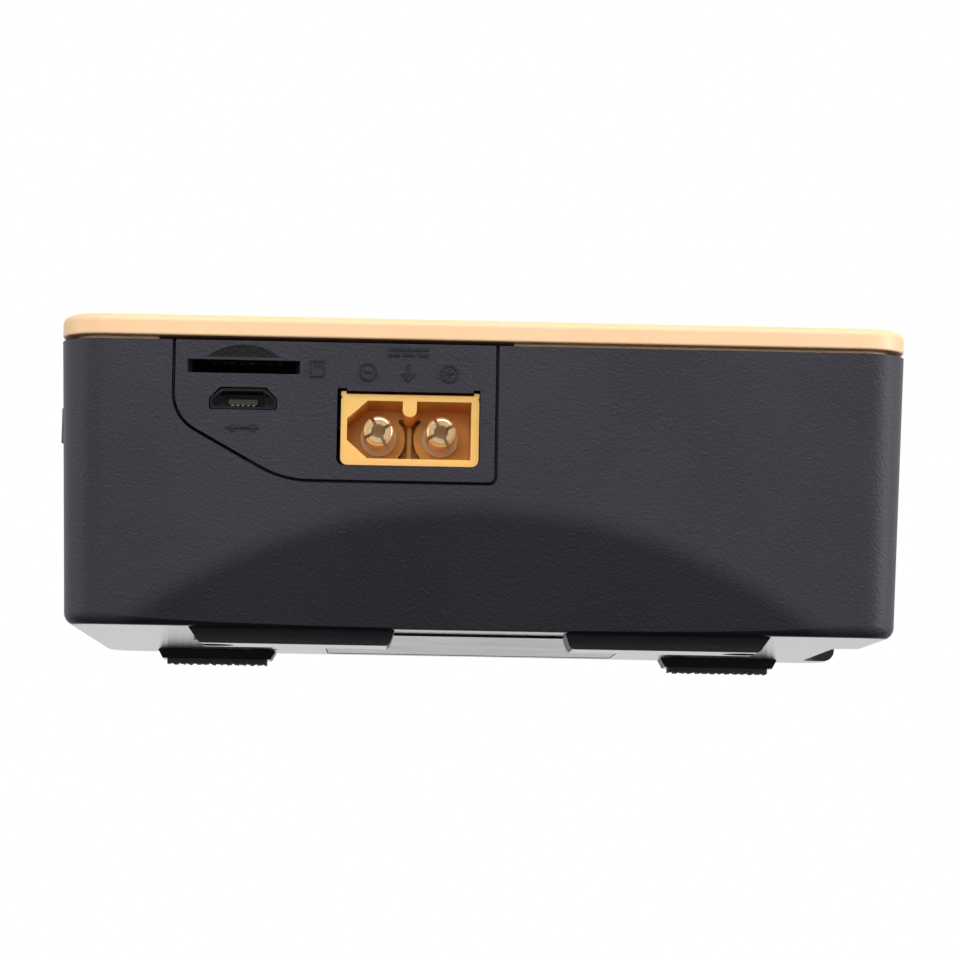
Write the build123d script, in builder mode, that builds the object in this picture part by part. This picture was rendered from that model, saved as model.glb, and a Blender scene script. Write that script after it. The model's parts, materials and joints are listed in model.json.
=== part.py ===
from build123d import *
import math
import os

# Balance battery charger for model aircraft packs. Millimetres, +Z up.
# The origin is on the table, under the middle of the case. The input ports face -Y,
# the output ports face +Y, the jog wheel stands out of the -X side.

os.makedirs("parts", exist_ok=True)

# ---------------------------------------------------------------- case
case_width = 97.4
case_depth = 68.0
body_height = 32.6
ground_gap = 1.8          # table to the underside of the case
draft = 1.8               # degrees, all four walls
corner_radius = 5.2
base_edge_radius = 1.4
wall = 1.8
floor_thickness = 1.8
seam = 0.5                # shadow gap between bezel and case
bezel_height = 2.5
fit = 0.1                 # clearance between pieces that seat in each other

base_z = ground_gap
body_top_z = base_z + body_height
bezel_z = body_top_z + seam
top_z = bezel_z + bezel_height
floor_z = base_z + floor_thickness
side_x = case_width / 2   # outer faces of the walls at the top of the case
face_y = case_depth / 2
tan_draft = math.tan(math.radians(draft))


def face_setback(z):
    """How far a drafted wall stands inside its top edge at height z."""
    return (body_top_z - z) * tan_draft


def drafted_block(inset, z_top, z_bottom):
    """Block whose sides follow the drafted walls of the case, inset from them."""
    shrink = 2 * (inset + face_setback(z_top))
    top = Plane(origin=(0, 0, z_top), x_dir=(1, 0, 0), z_dir=(0, 0, -1))
    with BuildPart() as block:
        with BuildSketch(top):
            RectangleRounded(case_width - shrink, case_depth - shrink, corner_radius - inset)
        extrude(amount=z_top - z_bottom, taper=draft)
    return block.part


# Shallow dish in the input wall: a very flat cone whose rim shows as a wide arc.
dish_x = -0.9
dish_drop = 17.4          # top of the case to the highest point of the arc
dish_radius = 66.8
dish_tilt = 2.6           # degrees against the wall

# Port panel in the input wall, as an outline with three rounded corners.
panel_left_x = -side_x + 12.95
panel_bend_x = panel_left_x + 12.8
panel_right_x = 1.6
panel_bend_drop = 9.0     # top of the case to the left corner
panel_drop = 16.05        # top of the case to the panel's lower edge
panel_radii = (5.0, 12.0, 1.0)
panel_gap = 0.38          # groove round the panel
flange_thickness = 1.5
flange_overlap = 1.3
mark_height = 0.15        # raised symbols beside the ports

# ---------------------------------------------------------------- boards
pcb_thickness = 1.6
pcb_corner = 2.5
pcb_side_gap = 1.4        # board edge to the walls, each side
pcb_front_gap = 1.5
pcb_back_gap = 1.1
power_pcb_drop = 14.0     # top of the case to each board's upper or lower face
control_pcb_drop = 5.45

power_pcb_top_z = body_top_z - power_pcb_drop
power_pcb_z = power_pcb_top_z - pcb_thickness
control_pcb_z = body_top_z - control_pcb_drop
control_pcb_top_z = control_pcb_z + pcb_thickness
pcb_setback = wall + face_setback(power_pcb_z)
pcb_half_width = side_x - pcb_setback - pcb_side_gap
pcb_front_y = -face_y + pcb_setback + pcb_front_gap
pcb_back_y = face_y - pcb_setback - pcb_back_gap

# ---------------------------------------------------------------- underside
skid_inner_x = 9.8        # the two moulded skids under the input wall
skid_outer_x = side_x - 15.3
skid_inner_slope = 0.6
skid_outer_slope = 1.3
skid_radius = 0.7
skid_front_y = -face_y + 3.6
skid_depth = 8.4
pad_half_width = 18.6     # raised field under the middle of the case
pad_near_y = skid_front_y + 7.2
pad_far_y = face_y - 10.0
pad_drop = 0.25
pad_z = base_z - pad_drop
foot_x = side_x - 16.0
foot_width = 15.2
foot_near_y = face_y - 8.0
foot_length = 5.6
foot_slope = 0.6
foot_y = foot_near_y + foot_length / 2
boss_drop = 1.1
rubber_inset = 1.1        # boss edge to the pocket for the rubber, at the ends
rubber_side_inset = 0.5
rubber_seat = 0.35        # depth of the pocket that holds each rubber foot
rubber_gap = 0.05
rubber_rib_count = 8
label_margin = 0.4        # edge of the raised field to the plain label
label_pocket = 0.3
label_thickness = 0.24
label_width = 2 * (pad_half_width - label_margin)
label_length = pad_far_y - pad_near_y - 2 * label_margin
label_y = (pad_near_y + pad_far_y) / 2

# Pillars that clamp the boards, fastened from below, and posts that hold the bezel.
pillar_radius = 2.7
screw_radius = 1.25
screw_head_radius = 2.3
screw_head_height = 1.6
screw_recess = 2.1        # depth of the counterbores
nut_height = 1.8
nut_radius = 2.8
near_pillar_y = skid_front_y + 4.8
far_pillar_y = face_y - 12.5
near_pillars = [(side * (skid_outer_x - 2.7), near_pillar_y) for side in (-1, 1)]
far_pillars = [(side * (foot_x - 5.7), far_pillar_y) for side in (-1, 1)]
pillars = near_pillars + far_pillars
near_seat_z = screw_recess
far_seat_z = base_z + screw_recess
post_radius = 2.2
post_screw_radius = 1.0
post_inset = (6.7, 7.0)
post_places = [(i * (side_x - post_inset[0]), j * (face_y - post_inset[1]))
               for i in (-1, 1) for j in (-1, 1)]

# ---------------------------------------------------------------- power connectors
xt_width = 15.8           # two-pin power connector, outside
xt_height = 8.15
xt_length = 16.0
xt_pitch = 7.2
xt_x = panel_right_x - 10.1
xt_z = power_pcb_top_z + 0.05 + xt_height / 2
xt_face_gap = 0.3         # connector face behind the wall's face
xt_cavity_depth = 10.3
ear_width = 0.6           # small ears on the housing's top corners
ear_height = 0.3
xt_left_gap = 0.45
xt_top_gap = 0.3
pin_radius = 1.75
pin_recess = 1.0
pin_slit = 0.4
pin_bore = 0.8
slit_turn = 28.0
collar_radius = 2.1
collar_length = 1.0
web_radius = 3.1          # rounded seats round the two pins
key_width = 1.6
slot_depth = 4.0
slot_rib = 0.5
rib_drop = 1.0
tail_section = (2.0, 1.6)
output_x = 12.0
output_rim = 1.2
plug_size = (13.8, 6.2)
plug_length = 9.0
socket_bore = 1.8
socket_wall = 0.5

# ---------------------------------------------------------------- small sockets
card_x = panel_left_x + 8.15
card_slot_width = 11.8
card_slot_height = 1.36
card_slot_z = control_pcb_top_z + 0.15 + card_slot_height / 2
card_mouth = (12.9, 2.45)     # mouth of the card funnel, width and height
card_mouth_z = card_slot_z - card_slot_height / 2 - 0.05 + card_mouth[1] / 2
card_socket_size = (14.0, 14.6, 2.0)
funnel_depth = 1.3
scallop_radius = 6.85
scallop_drop = 0.45
scallop_slope = 58.0      # degrees, so that it runs down into the slot
usb_x = card_x
usb_height = 2.34
usb_width = 7.54
usb_top_width = 5.05
usb_sheet = 0.28
usb_length = 5.2
usb_z = control_pcb_z - usb_height / 2
balance_ways = 7
balance_pitch = 2.5
balance_pin = 0.64
balance_width = balance_pitch * (balance_ways - 1) + 4.9
balance_height = 5.75
balance_length = 7.0
balance_wall = 0.8
balance_x = -14.5
balance_z = power_pcb_top_z + 0.05 + balance_height / 2

# ---------------------------------------------------------------- fan and louvres
fan_size = 40.0
fan_height = 10.0
fan_x = 0.0
fan_y = 2.0
fan_post_height = 3.0     # space under the fan, fed by the louvres in the -X side
fan_post_radius = 2.8
fan_bore = fan_size / 2 - 1.0
fan_hole_pitch = fan_size - 8.0
fan_screw_radius = 1.5
fan_hub_radius = 10.0
fan_z = floor_z + fan_post_height + fit
fan_top_z = fan_z + fan_height
fan_corners = [(fan_x + i * fan_hole_pitch / 2, fan_y + j * fan_hole_pitch / 2)
               for i in (-1, 1) for j in (-1, 1)]
fan_shaft_radius = 1.0
magnet_radius = fan_hub_radius - 1.2
hub_floor = 1.2
spider_thickness = 1.5
bearing_radius = 2.4
blade_count = 7
blade_chord = 8.6
blade_pitch = 42.0
blade_thickness = 0.9
blade_tip_gap = 0.7
louvre_pitch = 3.8
louvre_width = 2.0

# Exhaust recess in the lower part of the +X side.
recess_x = side_x - 5.2
recess_near_y = -face_y + 26.6
recess_far_y = face_y - 8.6
recess_top_z = power_pcb_z - 3.3
recess_radius = 2.0

# ---------------------------------------------------------------- jog wheel and button
wheel_radius = 8.0
wheel_thickness = 4.1
wheel_reach = 2.5         # how far the wheel stands out of the side
wheel_x = -side_x - wheel_reach + wheel_radius
wheel_y = 0.0
wheel_z = body_top_z - 6.55
wheel_gap = 0.6           # round the wheel in its window
wheel_x_from_wall = wheel_x + side_x - wall - face_setback(wheel_z)
knurl_count = 44
knurl_depth = 0.35
axle_radius = 1.0
axle_clearance = 0.05
plate_thickness = 1.4
plate_width = 10.0
press_travel = 0.5
button_x = -side_x + 12.7
button_y = face_y - 17.5
button_radius = 3.6
button_travel = 0.5
button_rise = 0.6

# ---------------------------------------------------------------- bezel and display
bezel_edge_radius = 0.9
skirt_depth = 2.0
skirt_thickness = 1.3
window_rim = (5.9, 5.8)
window_width = case_width - 2 * window_rim[0]
window_depth = case_depth - 2 * window_rim[1]
window_thickness = 1.2
window_corner = 3.0
window_drop = 0.25        # glass below the bezel's top face
ledge = 1.8
lcd_width = 62.0
lcd_depth = 44.0
lcd_thickness = 2.6
lcd_x = window_width / 2 - ledge - 0.5 - lcd_width / 2
window_z = top_z - window_drop - window_thickness
lcd_z = window_z - 0.05 - lcd_thickness
tray_thickness = 0.5
flex_width = 16.0
flex_thickness = 0.2

# ---------------------------------------------------------------- parts on the boards
transistor_height = 2.4
thermal_pad_thickness = 0.5
sink_base_thickness = 2.5
sink_fin_count = 9
sink_fin = 1.2
sink_top_z = power_pcb_z - transistor_height - thermal_pad_thickness
sink_base_z = sink_top_z - sink_base_thickness
sink_low_z = floor_z + 0.6
sink_x0 = fan_x + fan_size / 2 + 1.6
sink_x1 = recess_x - wall - 0.6
sink_y0 = recess_near_y + 0.4
sink_y1 = far_pillar_y - pillar_radius - 1.4
inductor_places = [(-12.0, -6.5), (6.5, -6.5)]
inductor_radius = 7.4
core_radii = (2.6, 6.2)
core_height = 5.0
winding_turns = 9
wire_thickness = 0.8
capacitor_xs = (21.0, 30.0, 39.0)
capacitor_radius = 3.9
capacitor_front_y = -19.0
capacitor_length = 12.5
buzzer_place = (35.0, 6.0)
buzzer_radius = 4.8
buzzer_height = 5.5
header_x = -2.0
header_y = 11.0
header_ways = 10
header_pitch = 2.0
header_pin = 0.5


def rect_between(x0, x1, y0, y1, mode=Mode.ADD):
    """Adds a rectangle between two corners to the open sketch, or cuts it out."""
    with Locations(((x0 + x1) / 2, (y0 + y1) / 2)):
        Rectangle(x1 - x0, y1 - y0, mode=mode)


def slab(x0, x1, y0, y1, z0, z1, radius=0):
    """Plain box between two corners, its upright edges rounded if radius is given."""
    with BuildPart() as piece:
        with BuildSketch(Plane.XY.offset(z0)):
            with Locations(((x0 + x1) / 2, (y0 + y1) / 2)):
                if radius:
                    RectangleRounded(x1 - x0, y1 - y0, radius)
                else:
                    Rectangle(x1 - x0, y1 - y0)
        extrude(amount=z1 - z0)
    return piece.part


# ================================================================ lower case
def exhaust_recess(grow):
    """Recess in the +X side, open below and outwards, grown on its closed sides."""
    return slab(recess_x - grow, side_x + 6, recess_near_y - grow, recess_far_y + grow,
                -1, recess_top_z + grow, recess_radius + grow)


def panel_prism(grow, back_y):
    """The port panel's outline carried from outside the wall to back_y."""
    low_z = body_top_z - panel_drop
    bend_z = body_top_z - panel_bend_drop
    with BuildPart() as prism:
        with BuildSketch(Plane.XZ.offset(face_y + 1)) as outline:
            with BuildLine():
                Polyline((panel_left_x, body_top_z + 5), (panel_left_x, bend_z), (panel_bend_x, low_z),
                         (panel_right_x, low_z), (panel_right_x, body_top_z + 5), close=True)
            make_face()
            # from right to left, so that the corners still to be rounded keep their order
            for index in (2, 1, 0):
                corners = outline.vertices().filter_by(lambda v: v.Y < body_top_z).sort_by(Axis.X)
                fillet(corners[index], panel_radii[index])
            if grow:
                offset(amount=grow, kind=Kind.ARC)
        extrude(amount=-(back_y + face_y + 1))
    return prism.part


inner_block = drafted_block(wall, body_top_z + 1, floor_z)
recess_wall = exhaust_recess(wall)
with BuildPart() as cavity:
    add(inner_block)
    add(recess_wall, mode=Mode.SUBTRACT)

dish_z = body_top_z - dish_drop - dish_radius     # centre of the arc
dish_plane = Plane(
    origin=(dish_x, -face_y + face_setback(dish_z), dish_z),
    x_dir=(1, 0, 0),
    z_dir=(0, -math.cos(math.radians(draft)), -math.sin(math.radians(draft))),
)
with BuildPart(dish_plane) as dish:
    with BuildSketch(Plane(dish_plane.origin, x_dir=(1, 0, 0), z_dir=dish_plane.y_dir)):
        with BuildLine():
            Polyline((0, dish_radius * math.tan(math.radians(dish_tilt))), (dish_radius, 0),
                     (dish_radius, -2), (0, -2), close=True)
        make_face()
    revolve(axis=Axis(dish_plane.origin, dish_plane.z_dir))

wheel_window = 2 * (math.sqrt(wheel_radius**2 - wheel_x_from_wall**2) + wheel_gap)
louvre_count = int((recess_far_y - recess_near_y - louvre_width) / louvre_pitch)
outer_block = drafted_block(0, body_top_z, base_z)
recess_block = exhaust_recess(0)
panel_opening = panel_prism(0, -face_y + wall + flange_thickness)

with BuildPart() as lower_case:
    add(outer_block)
    fillet(lower_case.faces().sort_by(Axis.Z)[0].edges(), base_edge_radius)
    add(dish.part, mode=Mode.SUBTRACT)
    add(recess_block, mode=Mode.SUBTRACT)
    add(cavity.part, mode=Mode.SUBTRACT)
    # skids under the input wall
    with BuildSketch(Plane.XZ.offset(-skid_front_y - skid_depth)) as skid_outline:
        for side in (-1, 1):
            with BuildLine():
                Polyline((side * skid_inner_x, base_z), (side * (skid_inner_x + skid_inner_slope), 0),
                         (side * (skid_outer_x - skid_outer_slope), 0), (side * skid_outer_x, base_z),
                         (side * skid_outer_x, base_z + 0.5), (side * skid_inner_x, base_z + 0.5),
                         close=True)
            make_face()
        fillet(skid_outline.vertices().group_by(Axis.Y)[0], skid_radius)
    extrude(amount=skid_depth)
    # bosses for the rubber feet
    with BuildSketch(Plane.XZ.offset(-foot_near_y - foot_length)):
        for side in (-1, 1):
            with Locations((side * foot_x, base_z - boss_drop / 2)):
                Trapezoid(foot_width, boss_drop, 180 - math.degrees(math.atan2(boss_drop, -foot_slope)),
                          rotation=180)
    extrude(amount=foot_length)
    for side in (-1, 1):
        with BuildSketch(Plane.XY.offset(base_z - boss_drop)):
            with Locations((side * foot_x, foot_y)):
                Rectangle(foot_width - 2 * rubber_inset, foot_length - 2 * rubber_side_inset)
        extrude(amount=rubber_seat, mode=Mode.SUBTRACT)
    # raised field under the middle of the case
    with BuildSketch(Plane.XY.offset(pad_z)):
        rect_between(-pad_half_width, pad_half_width, pad_near_y, pad_far_y)
    extrude(amount=pad_drop + 0.2)
    # intake louvres in the -X side, exhaust louvres in the recess on the +X side
    for wall_x in (-side_x, recess_x - wall - 1):
        with BuildSketch(Plane.YZ.offset(wall_x)):
            with Locations(((recess_near_y + recess_far_y) / 2, (floor_z + recess_top_z) / 2)):
                with GridLocations(louvre_pitch, 1, louvre_count, 1):
                    SlotOverall(recess_top_z - floor_z - 2.5, louvre_width, rotation=90)
        extrude(amount=wall + 2, mode=Mode.SUBTRACT)
    # pillar bosses and their counterbored screw holes
    for x, y in pillars:
        with BuildSketch(Plane.XY.offset(floor_z - 0.3)):
            with Locations((x, y)):
                Circle(pillar_radius)
        extrude(amount=power_pcb_z - floor_z + 0.3)
    for x, y in pillars:
        low = 0 if (x, y) in near_pillars else base_z
        with BuildSketch(Plane.XY.offset(low - 0.1)):
            with Locations((x, y)):
                Circle(screw_head_radius + fit)
        extrude(amount=screw_recess + 0.1, mode=Mode.SUBTRACT)
        with BuildSketch(Plane.XY.offset(-0.1)):
            with Locations((x, y)):
                Circle(screw_radius + fit)
        extrude(amount=power_pcb_z + 1, mode=Mode.SUBTRACT)
    # posts that carry the fan, with blind holes for its screws
    with BuildSketch(Plane.XY.offset(floor_z - 0.3)):
        with Locations(*fan_corners):
            Circle(fan_post_radius)
            Circle(fan_screw_radius + fit, mode=Mode.SUBTRACT)
    extrude(amount=fan_post_height + 0.3)
    # window for the jog wheel
    with BuildSketch(Plane.YZ.offset(-side_x - 2)):
        with Locations((wheel_y, wheel_z)):
            RectangleRounded(wheel_window, wheel_thickness + 2 * wheel_gap, 1.0)
    extrude(amount=wall + 3, mode=Mode.SUBTRACT)
    # opening for the port panel
    add(panel_opening, mode=Mode.SUBTRACT)

    # openings for the two output sockets
    with BuildSketch(Plane.XZ.offset(-face_y - 1)):
        with Locations((output_x, xt_z)):
            Rectangle(xt_width + 0.7, xt_height + 0.7)
        with Locations((balance_x, balance_z)):
            Rectangle(balance_width + 0.6, balance_height + 0.6)
    extrude(amount=wall + 3, mode=Mode.SUBTRACT)
    # pocket for the plain label under the case
    with BuildSketch(Plane.XY.offset(pad_z - 0.1)):
        with Locations((0, label_y)):
            RectangleRounded(label_width + 2 * fit, label_length + 2 * fit, 1.0 + fit)
    extrude(amount=label_pocket + 0.1, mode=Mode.SUBTRACT)
lower_case.part.label = "lower_case"
export_step(lower_case.part, "parts/lower_case.step")

# ================================================================ port panel
panel_front = panel_prism(-panel_gap, -face_y + wall + flange_thickness)
panel_back = panel_prism(flange_overlap, -face_y + wall + flange_thickness)
behind_wall = drafted_block(wall + 0.05, body_top_z + 1, floor_z)
bezel_room = slab(-case_width, case_width, -face_y + wall, 0, body_top_z, body_top_z + 10)


def xt_outline(grow):
    """Rear view of the power connector's housing, with the ears at its top corners."""
    with BuildSketch(Plane.XZ.offset(face_y + 1)) as outline:
        with Locations((xt_x, xt_z)):
            Rectangle(xt_width + 2 * grow, xt_height + 2 * grow)
        low = outline.vertices().group_by(Axis.Z)[0]
        fillet(low, 0.8)
        for side in (-1, 1):
            with Locations((xt_x + side * (xt_width - ear_width) / 2, xt_z + xt_height / 2)):
                Rectangle(ear_width + 2 * grow, 2 * ear_height + 2 * grow)
    return outline.sketch


def xt_window():
    """Opening in the panel: loose on the left and above the ears, close on the right."""
    left = xt_x - xt_width / 2 - xt_left_gap
    right = xt_x + xt_width / 2 + fit
    low = xt_z - xt_height / 2 - fit
    high = xt_z + xt_height / 2 + xt_top_gap
    with BuildSketch(Plane.XZ.offset(face_y + 1)) as window:
        rect_between(left, right, low, high)
        fillet(window.vertices().group_by(Axis.Z)[0], 0.9)
        rect_between(left, xt_x - xt_width / 2 + ear_width + fit, high - 1, high + ear_height)
        rect_between(right - ear_width - 2 * fit, right, high - 1, high + ear_height)
    return window.sketch


def usb_outline(grow):
    """The micro socket's D-like outline, wide below, with sloped upper corners."""
    half = usb_width / 2 + grow
    top_half = usb_top_width / 2 + grow
    low = usb_z - usb_height / 2 - grow
    high = usb_z + usb_height / 2 + grow
    with BuildSketch(Plane.XZ.offset(face_y + 1)) as outline:
        with BuildLine():
            Polyline((usb_x - half, low), (usb_x + half, low), (usb_x + half, usb_z),
                     (usb_x + top_half, high), (usb_x - top_half, high), (usb_x - half, usb_z),
                     close=True)
        make_face()
        fillet(outline.vertices().group_by(Axis.Z)[0], 0.35)
    return outline.sketch


xt_opening = xt_window()
usb_opening = usb_outline(0.12)

scallop_z = body_top_z - scallop_drop - scallop_radius
below_scallop = slab(-case_width, case_width, -case_depth, 0, 0, card_slot_z)
with BuildPart() as scallop:
    with BuildSketch(Plane.XZ.offset(face_y - face_setback(card_slot_z))):
        with Locations((card_x, scallop_z)):
            Circle(scallop_radius)
    extrude(amount=-funnel_depth, taper=scallop_slope)
    add(below_scallop, mode=Mode.SUBTRACT)

with BuildPart() as port_panel:
    add(panel_front)
    add(outer_block, mode=Mode.INTERSECT)
with BuildPart() as panel_flange:
    add(panel_back)
    add(behind_wall, mode=Mode.INTERSECT)
with port_panel:
    add(panel_flange.part)
    add(bezel_room, mode=Mode.SUBTRACT)
    extrude(xt_opening, amount=-wall - 6, mode=Mode.SUBTRACT)
    extrude(usb_opening, amount=-wall - 6, mode=Mode.SUBTRACT)
    # card funnel with its thumb scallop
    with BuildSketch(Plane.XZ.offset(face_y - face_setback(card_mouth_z) + 0.01)):
        with Locations((card_x, card_mouth_z)):
            Rectangle(*card_mouth)
    with BuildSketch(Plane.XZ.offset(face_y - face_setback(card_mouth_z) - funnel_depth)):
        with Locations((card_x, card_slot_z)):
            Rectangle(card_slot_width, card_slot_height)
    loft(mode=Mode.SUBTRACT)
    add(scallop.part, mode=Mode.SUBTRACT)
    with BuildSketch(Plane.XZ.offset(face_y + 1)):
        with Locations((card_x, card_slot_z)):
            Rectangle(card_slot_width, card_slot_height)
    extrude(amount=-8, mode=Mode.SUBTRACT)


def mark_plane(z):
    """Plane just inside the drafted panel face at height z."""
    return Plane.XZ.offset(face_y - face_setback(z) - 0.3)


polarity_x = 4.65             # the two polarity rings, from the connector's middle
polarity_z = body_top_z - 3.3
mark_dc_z = body_top_z - 0.95
with port_panel:
    with BuildSketch(mark_plane(polarity_z)):
        for side in (-1, 1):
            with Locations((xt_x + side * polarity_x - 0.25, polarity_z)):
                Circle(1.05)
                Circle(0.8, mode=Mode.SUBTRACT)
                Rectangle(0.95, 0.24)
                if side > 0:
                    Rectangle(0.24, 0.95)
        with Locations((xt_x - 0.3, polarity_z + 0.45)):
            Rectangle(0.36, 1.1)
        with Locations((xt_x - 0.3, polarity_z - 0.45)):
            Triangle(a=1.7, b=1.3, C=50, rotation=180)
    extrude(amount=0.3 + mark_height)
    with BuildSketch(mark_plane(mark_dc_z)):
        with Locations((xt_x - 0.3, mark_dc_z + 0.32)):
            Rectangle(4.6, 0.3)
        with Locations((xt_x - 0.3, mark_dc_z - 0.32)):
            with GridLocations(1.65, 1, 3, 1):
                Rectangle(1.3, 0.3)
    extrude(amount=0.3 + mark_height)
    with BuildSketch(mark_plane(card_slot_z)):
        with Locations((card_x + 8.4, card_slot_z)):
            Rectangle(1.7, 1.9)
            Rectangle(1.25, 1.45, mode=Mode.SUBTRACT)
            with Locations((0, 0.35)):
                with GridLocations(0.45, 1, 2, 1):
                    Rectangle(0.2, 0.5)
    extrude(amount=0.3 + mark_height)
    with BuildSketch(mark_plane(usb_z - 3.3)):
        with Locations((usb_x, usb_z - 3.3)):
            Rectangle(2.2, 0.28)
            for side in (-1, 1):
                with Locations((side * 1.3, 0)):
                    RegularPolygon(0.62, 3, rotation=90 - 90 * side)
    extrude(amount=0.3 + mark_height)
port_panel.part.label = "port_panel"
export_step(port_panel.part, "parts/port_panel.step")

# ================================================================ boards
with BuildPart() as power_pcb:
    with BuildSketch(Plane.XY.offset(power_pcb_z)):
        with Locations((0, (pcb_front_y + pcb_back_y) / 2)):
            RectangleRounded(2 * pcb_half_width, pcb_back_y - pcb_front_y, pcb_corner)
        with Locations(*pillars):
            Circle(screw_radius + fit, mode=Mode.SUBTRACT)
        with Locations(*post_places):
            Circle(post_radius, mode=Mode.SUBTRACT)
    extrude(amount=pcb_thickness)
power_pcb.part.label = "power_pcb"
export_step(power_pcb.part, "parts/power_pcb.step")

with BuildPart() as control_pcb:
    with BuildSketch(Plane.XY.offset(control_pcb_z)):
        with Locations((0, (pcb_front_y + pcb_back_y) / 2)):
            RectangleRounded(2 * pcb_half_width, pcb_back_y - pcb_front_y, pcb_corner)
        with Locations(*far_pillars):
            Circle(screw_radius + fit, mode=Mode.SUBTRACT)
        with Locations(*post_places):
            Circle(post_screw_radius + fit, mode=Mode.SUBTRACT)
        # notch for the jog wheel
        rect_between(-case_width, wheel_x + wheel_radius + press_travel + 0.9,
                     wheel_y - wheel_radius - 1, wheel_y + wheel_radius + 1, Mode.SUBTRACT)
    extrude(amount=pcb_thickness)
control_pcb.part.label = "control_pcb"
export_step(control_pcb.part, "parts/control_pcb.step")

with BuildPart() as board_spacers:
    with BuildSketch(Plane.XY.offset(power_pcb_top_z)):
        for x, y in far_pillars:
            with Locations((x, y)):
                RegularPolygon(nut_radius, 6)
                Circle(screw_radius + 0.03, mode=Mode.SUBTRACT)
    extrude(amount=control_pcb_z - power_pcb_top_z)
board_spacers.part.label = "board_spacers"
export_step(board_spacers.part, "parts/board_spacers.step")

with BuildPart() as board_nuts:
    with BuildSketch(Plane.XY.offset(power_pcb_top_z)):
        for x, y in near_pillars:
            with Locations((x, y)):
                RegularPolygon(nut_radius, 6)
                Circle(screw_radius + 0.03, mode=Mode.SUBTRACT)
    extrude(amount=nut_height)
board_nuts.part.label = "board_nuts"
export_step(board_nuts.part, "parts/board_nuts.step")

base_screw_length = power_pcb_top_z + nut_height + 0.4 - near_seat_z
with BuildPart() as base_screws:
    for x, y in pillars:
        seat_z = near_seat_z if (x, y) in near_pillars else far_seat_z
        with BuildSketch(Plane.XY.offset(seat_z)):
            with Locations((x, y)):
                Circle(screw_radius)
        extrude(amount=base_screw_length)
        with BuildSketch(Plane.XY.offset(seat_z - screw_head_height)):
            with Locations((x, y)):
                Circle(screw_head_radius)
        extrude(amount=screw_head_height)
        with BuildSketch(Plane.XY.offset(seat_z - screw_head_height)):
            with Locations((x, y)):
                Rectangle(2.4, 0.6)
                Rectangle(0.6, 2.4)
        extrude(amount=screw_head_height * 0.6, mode=Mode.SUBTRACT)
base_screws.part.label = "base_screws"
export_step(base_screws.part, "parts/base_screws.step")


def pan_screws(places, seat_z, direction, radius, length, head_radius, head_height):
    """Group of identical cross-head screws; direction +1 has the shank above the seat."""
    with BuildPart() as screws:
        for x, y in places:
            with BuildSketch(Plane.XY.offset(seat_z)):
                with Locations((x, y)):
                    Circle(radius)
            extrude(amount=direction * length)
            with BuildSketch(Plane.XY.offset(seat_z)):
                with Locations((x, y)):
                    Circle(head_radius)
            extrude(amount=-direction * head_height)
            with BuildSketch(Plane.XY.offset(seat_z - direction * head_height)):
                with Locations((x, y)):
                    Rectangle(head_radius * 1.1, head_radius * 0.25)
                    Rectangle(head_radius * 0.25, head_radius * 1.1)
            extrude(amount=direction * head_height * 0.6, mode=Mode.SUBTRACT)
    return screws


spacer_screws = pan_screws(far_pillars, control_pcb_top_z, -1, screw_radius, 5.0,
                           screw_head_radius, 1.4)
spacer_screws.part.label = "spacer_screws"
export_step(spacer_screws.part, "parts/spacer_screws.step")

bezel_screws = pan_screws(post_places, control_pcb_z, 1, post_screw_radius, 6.2, 1.8, 1.2)
bezel_screws.part.label = "bezel_screws"
export_step(bezel_screws.part, "parts/bezel_screws.step")

# ================================================================ power input connector
xt_front_y = -face_y + face_setback(xt_z) + xt_face_gap
cavity_left = xt_x - 7.2
cavity_right = xt_x + 7.0
cavity_low = xt_z - 3.3
cavity_high = xt_z + 3.35
xt_profile = xt_outline(0)
with BuildPart() as input_housing:
    add(extrude(xt_profile, amount=-(xt_front_y + face_y + 1 + xt_length), mode=Mode.PRIVATE))
    add(slab(-case_width, case_width, -case_depth, xt_front_y, 0, top_z), mode=Mode.SUBTRACT)
    with BuildSketch(Plane.XZ.offset(-xt_front_y)):
        with BuildLine():
            Polyline((cavity_left, cavity_low + 2.1), (cavity_left + 2.35, cavity_low),
                     (cavity_right, cavity_low), (cavity_right, cavity_high),
                     (cavity_left + 2.35, cavity_high), (cavity_left, cavity_high - 2.1), close=True)
        make_face()
        with Locations((xt_x - 0.05, cavity_high - 0.1)):
            SlotOverall(3.4, key_width, rotation=90, mode=Mode.SUBTRACT)
    extrude(amount=-xt_cavity_depth, mode=Mode.SUBTRACT)
    # waisted slot in the cavity floor between the pins, with a thin rib in its middle
    for start, rib in ((xt_cavity_depth - 0.1, 0.0), (xt_cavity_depth + rib_drop, slot_rib)):
        with BuildSketch(Plane.XZ.offset(-xt_front_y - start)):
            with Locations((xt_x, xt_z)):
                Rectangle(2.6, 4.7)
                with GridLocations(xt_pitch, 1, 2, 1):
                    Circle(web_radius, mode=Mode.SUBTRACT)
                if rib:
                    Rectangle(rib, 6, mode=Mode.SUBTRACT)
        extrude(amount=-(rib_drop + 0.1 if not rib else slot_depth - rib_drop), mode=Mode.SUBTRACT)
    with BuildSketch(Plane.XZ.offset(-xt_front_y)):
        with Locations((xt_x, xt_z)):
            with GridLocations(xt_pitch, 1, 2, 1):
                Circle(pin_radius + 0.02)
    extrude(amount=-xt_length - 1, mode=Mode.SUBTRACT)
input_housing.part.label = "input_housing"
export_step(input_housing.part, "parts/input_housing.step")

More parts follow.
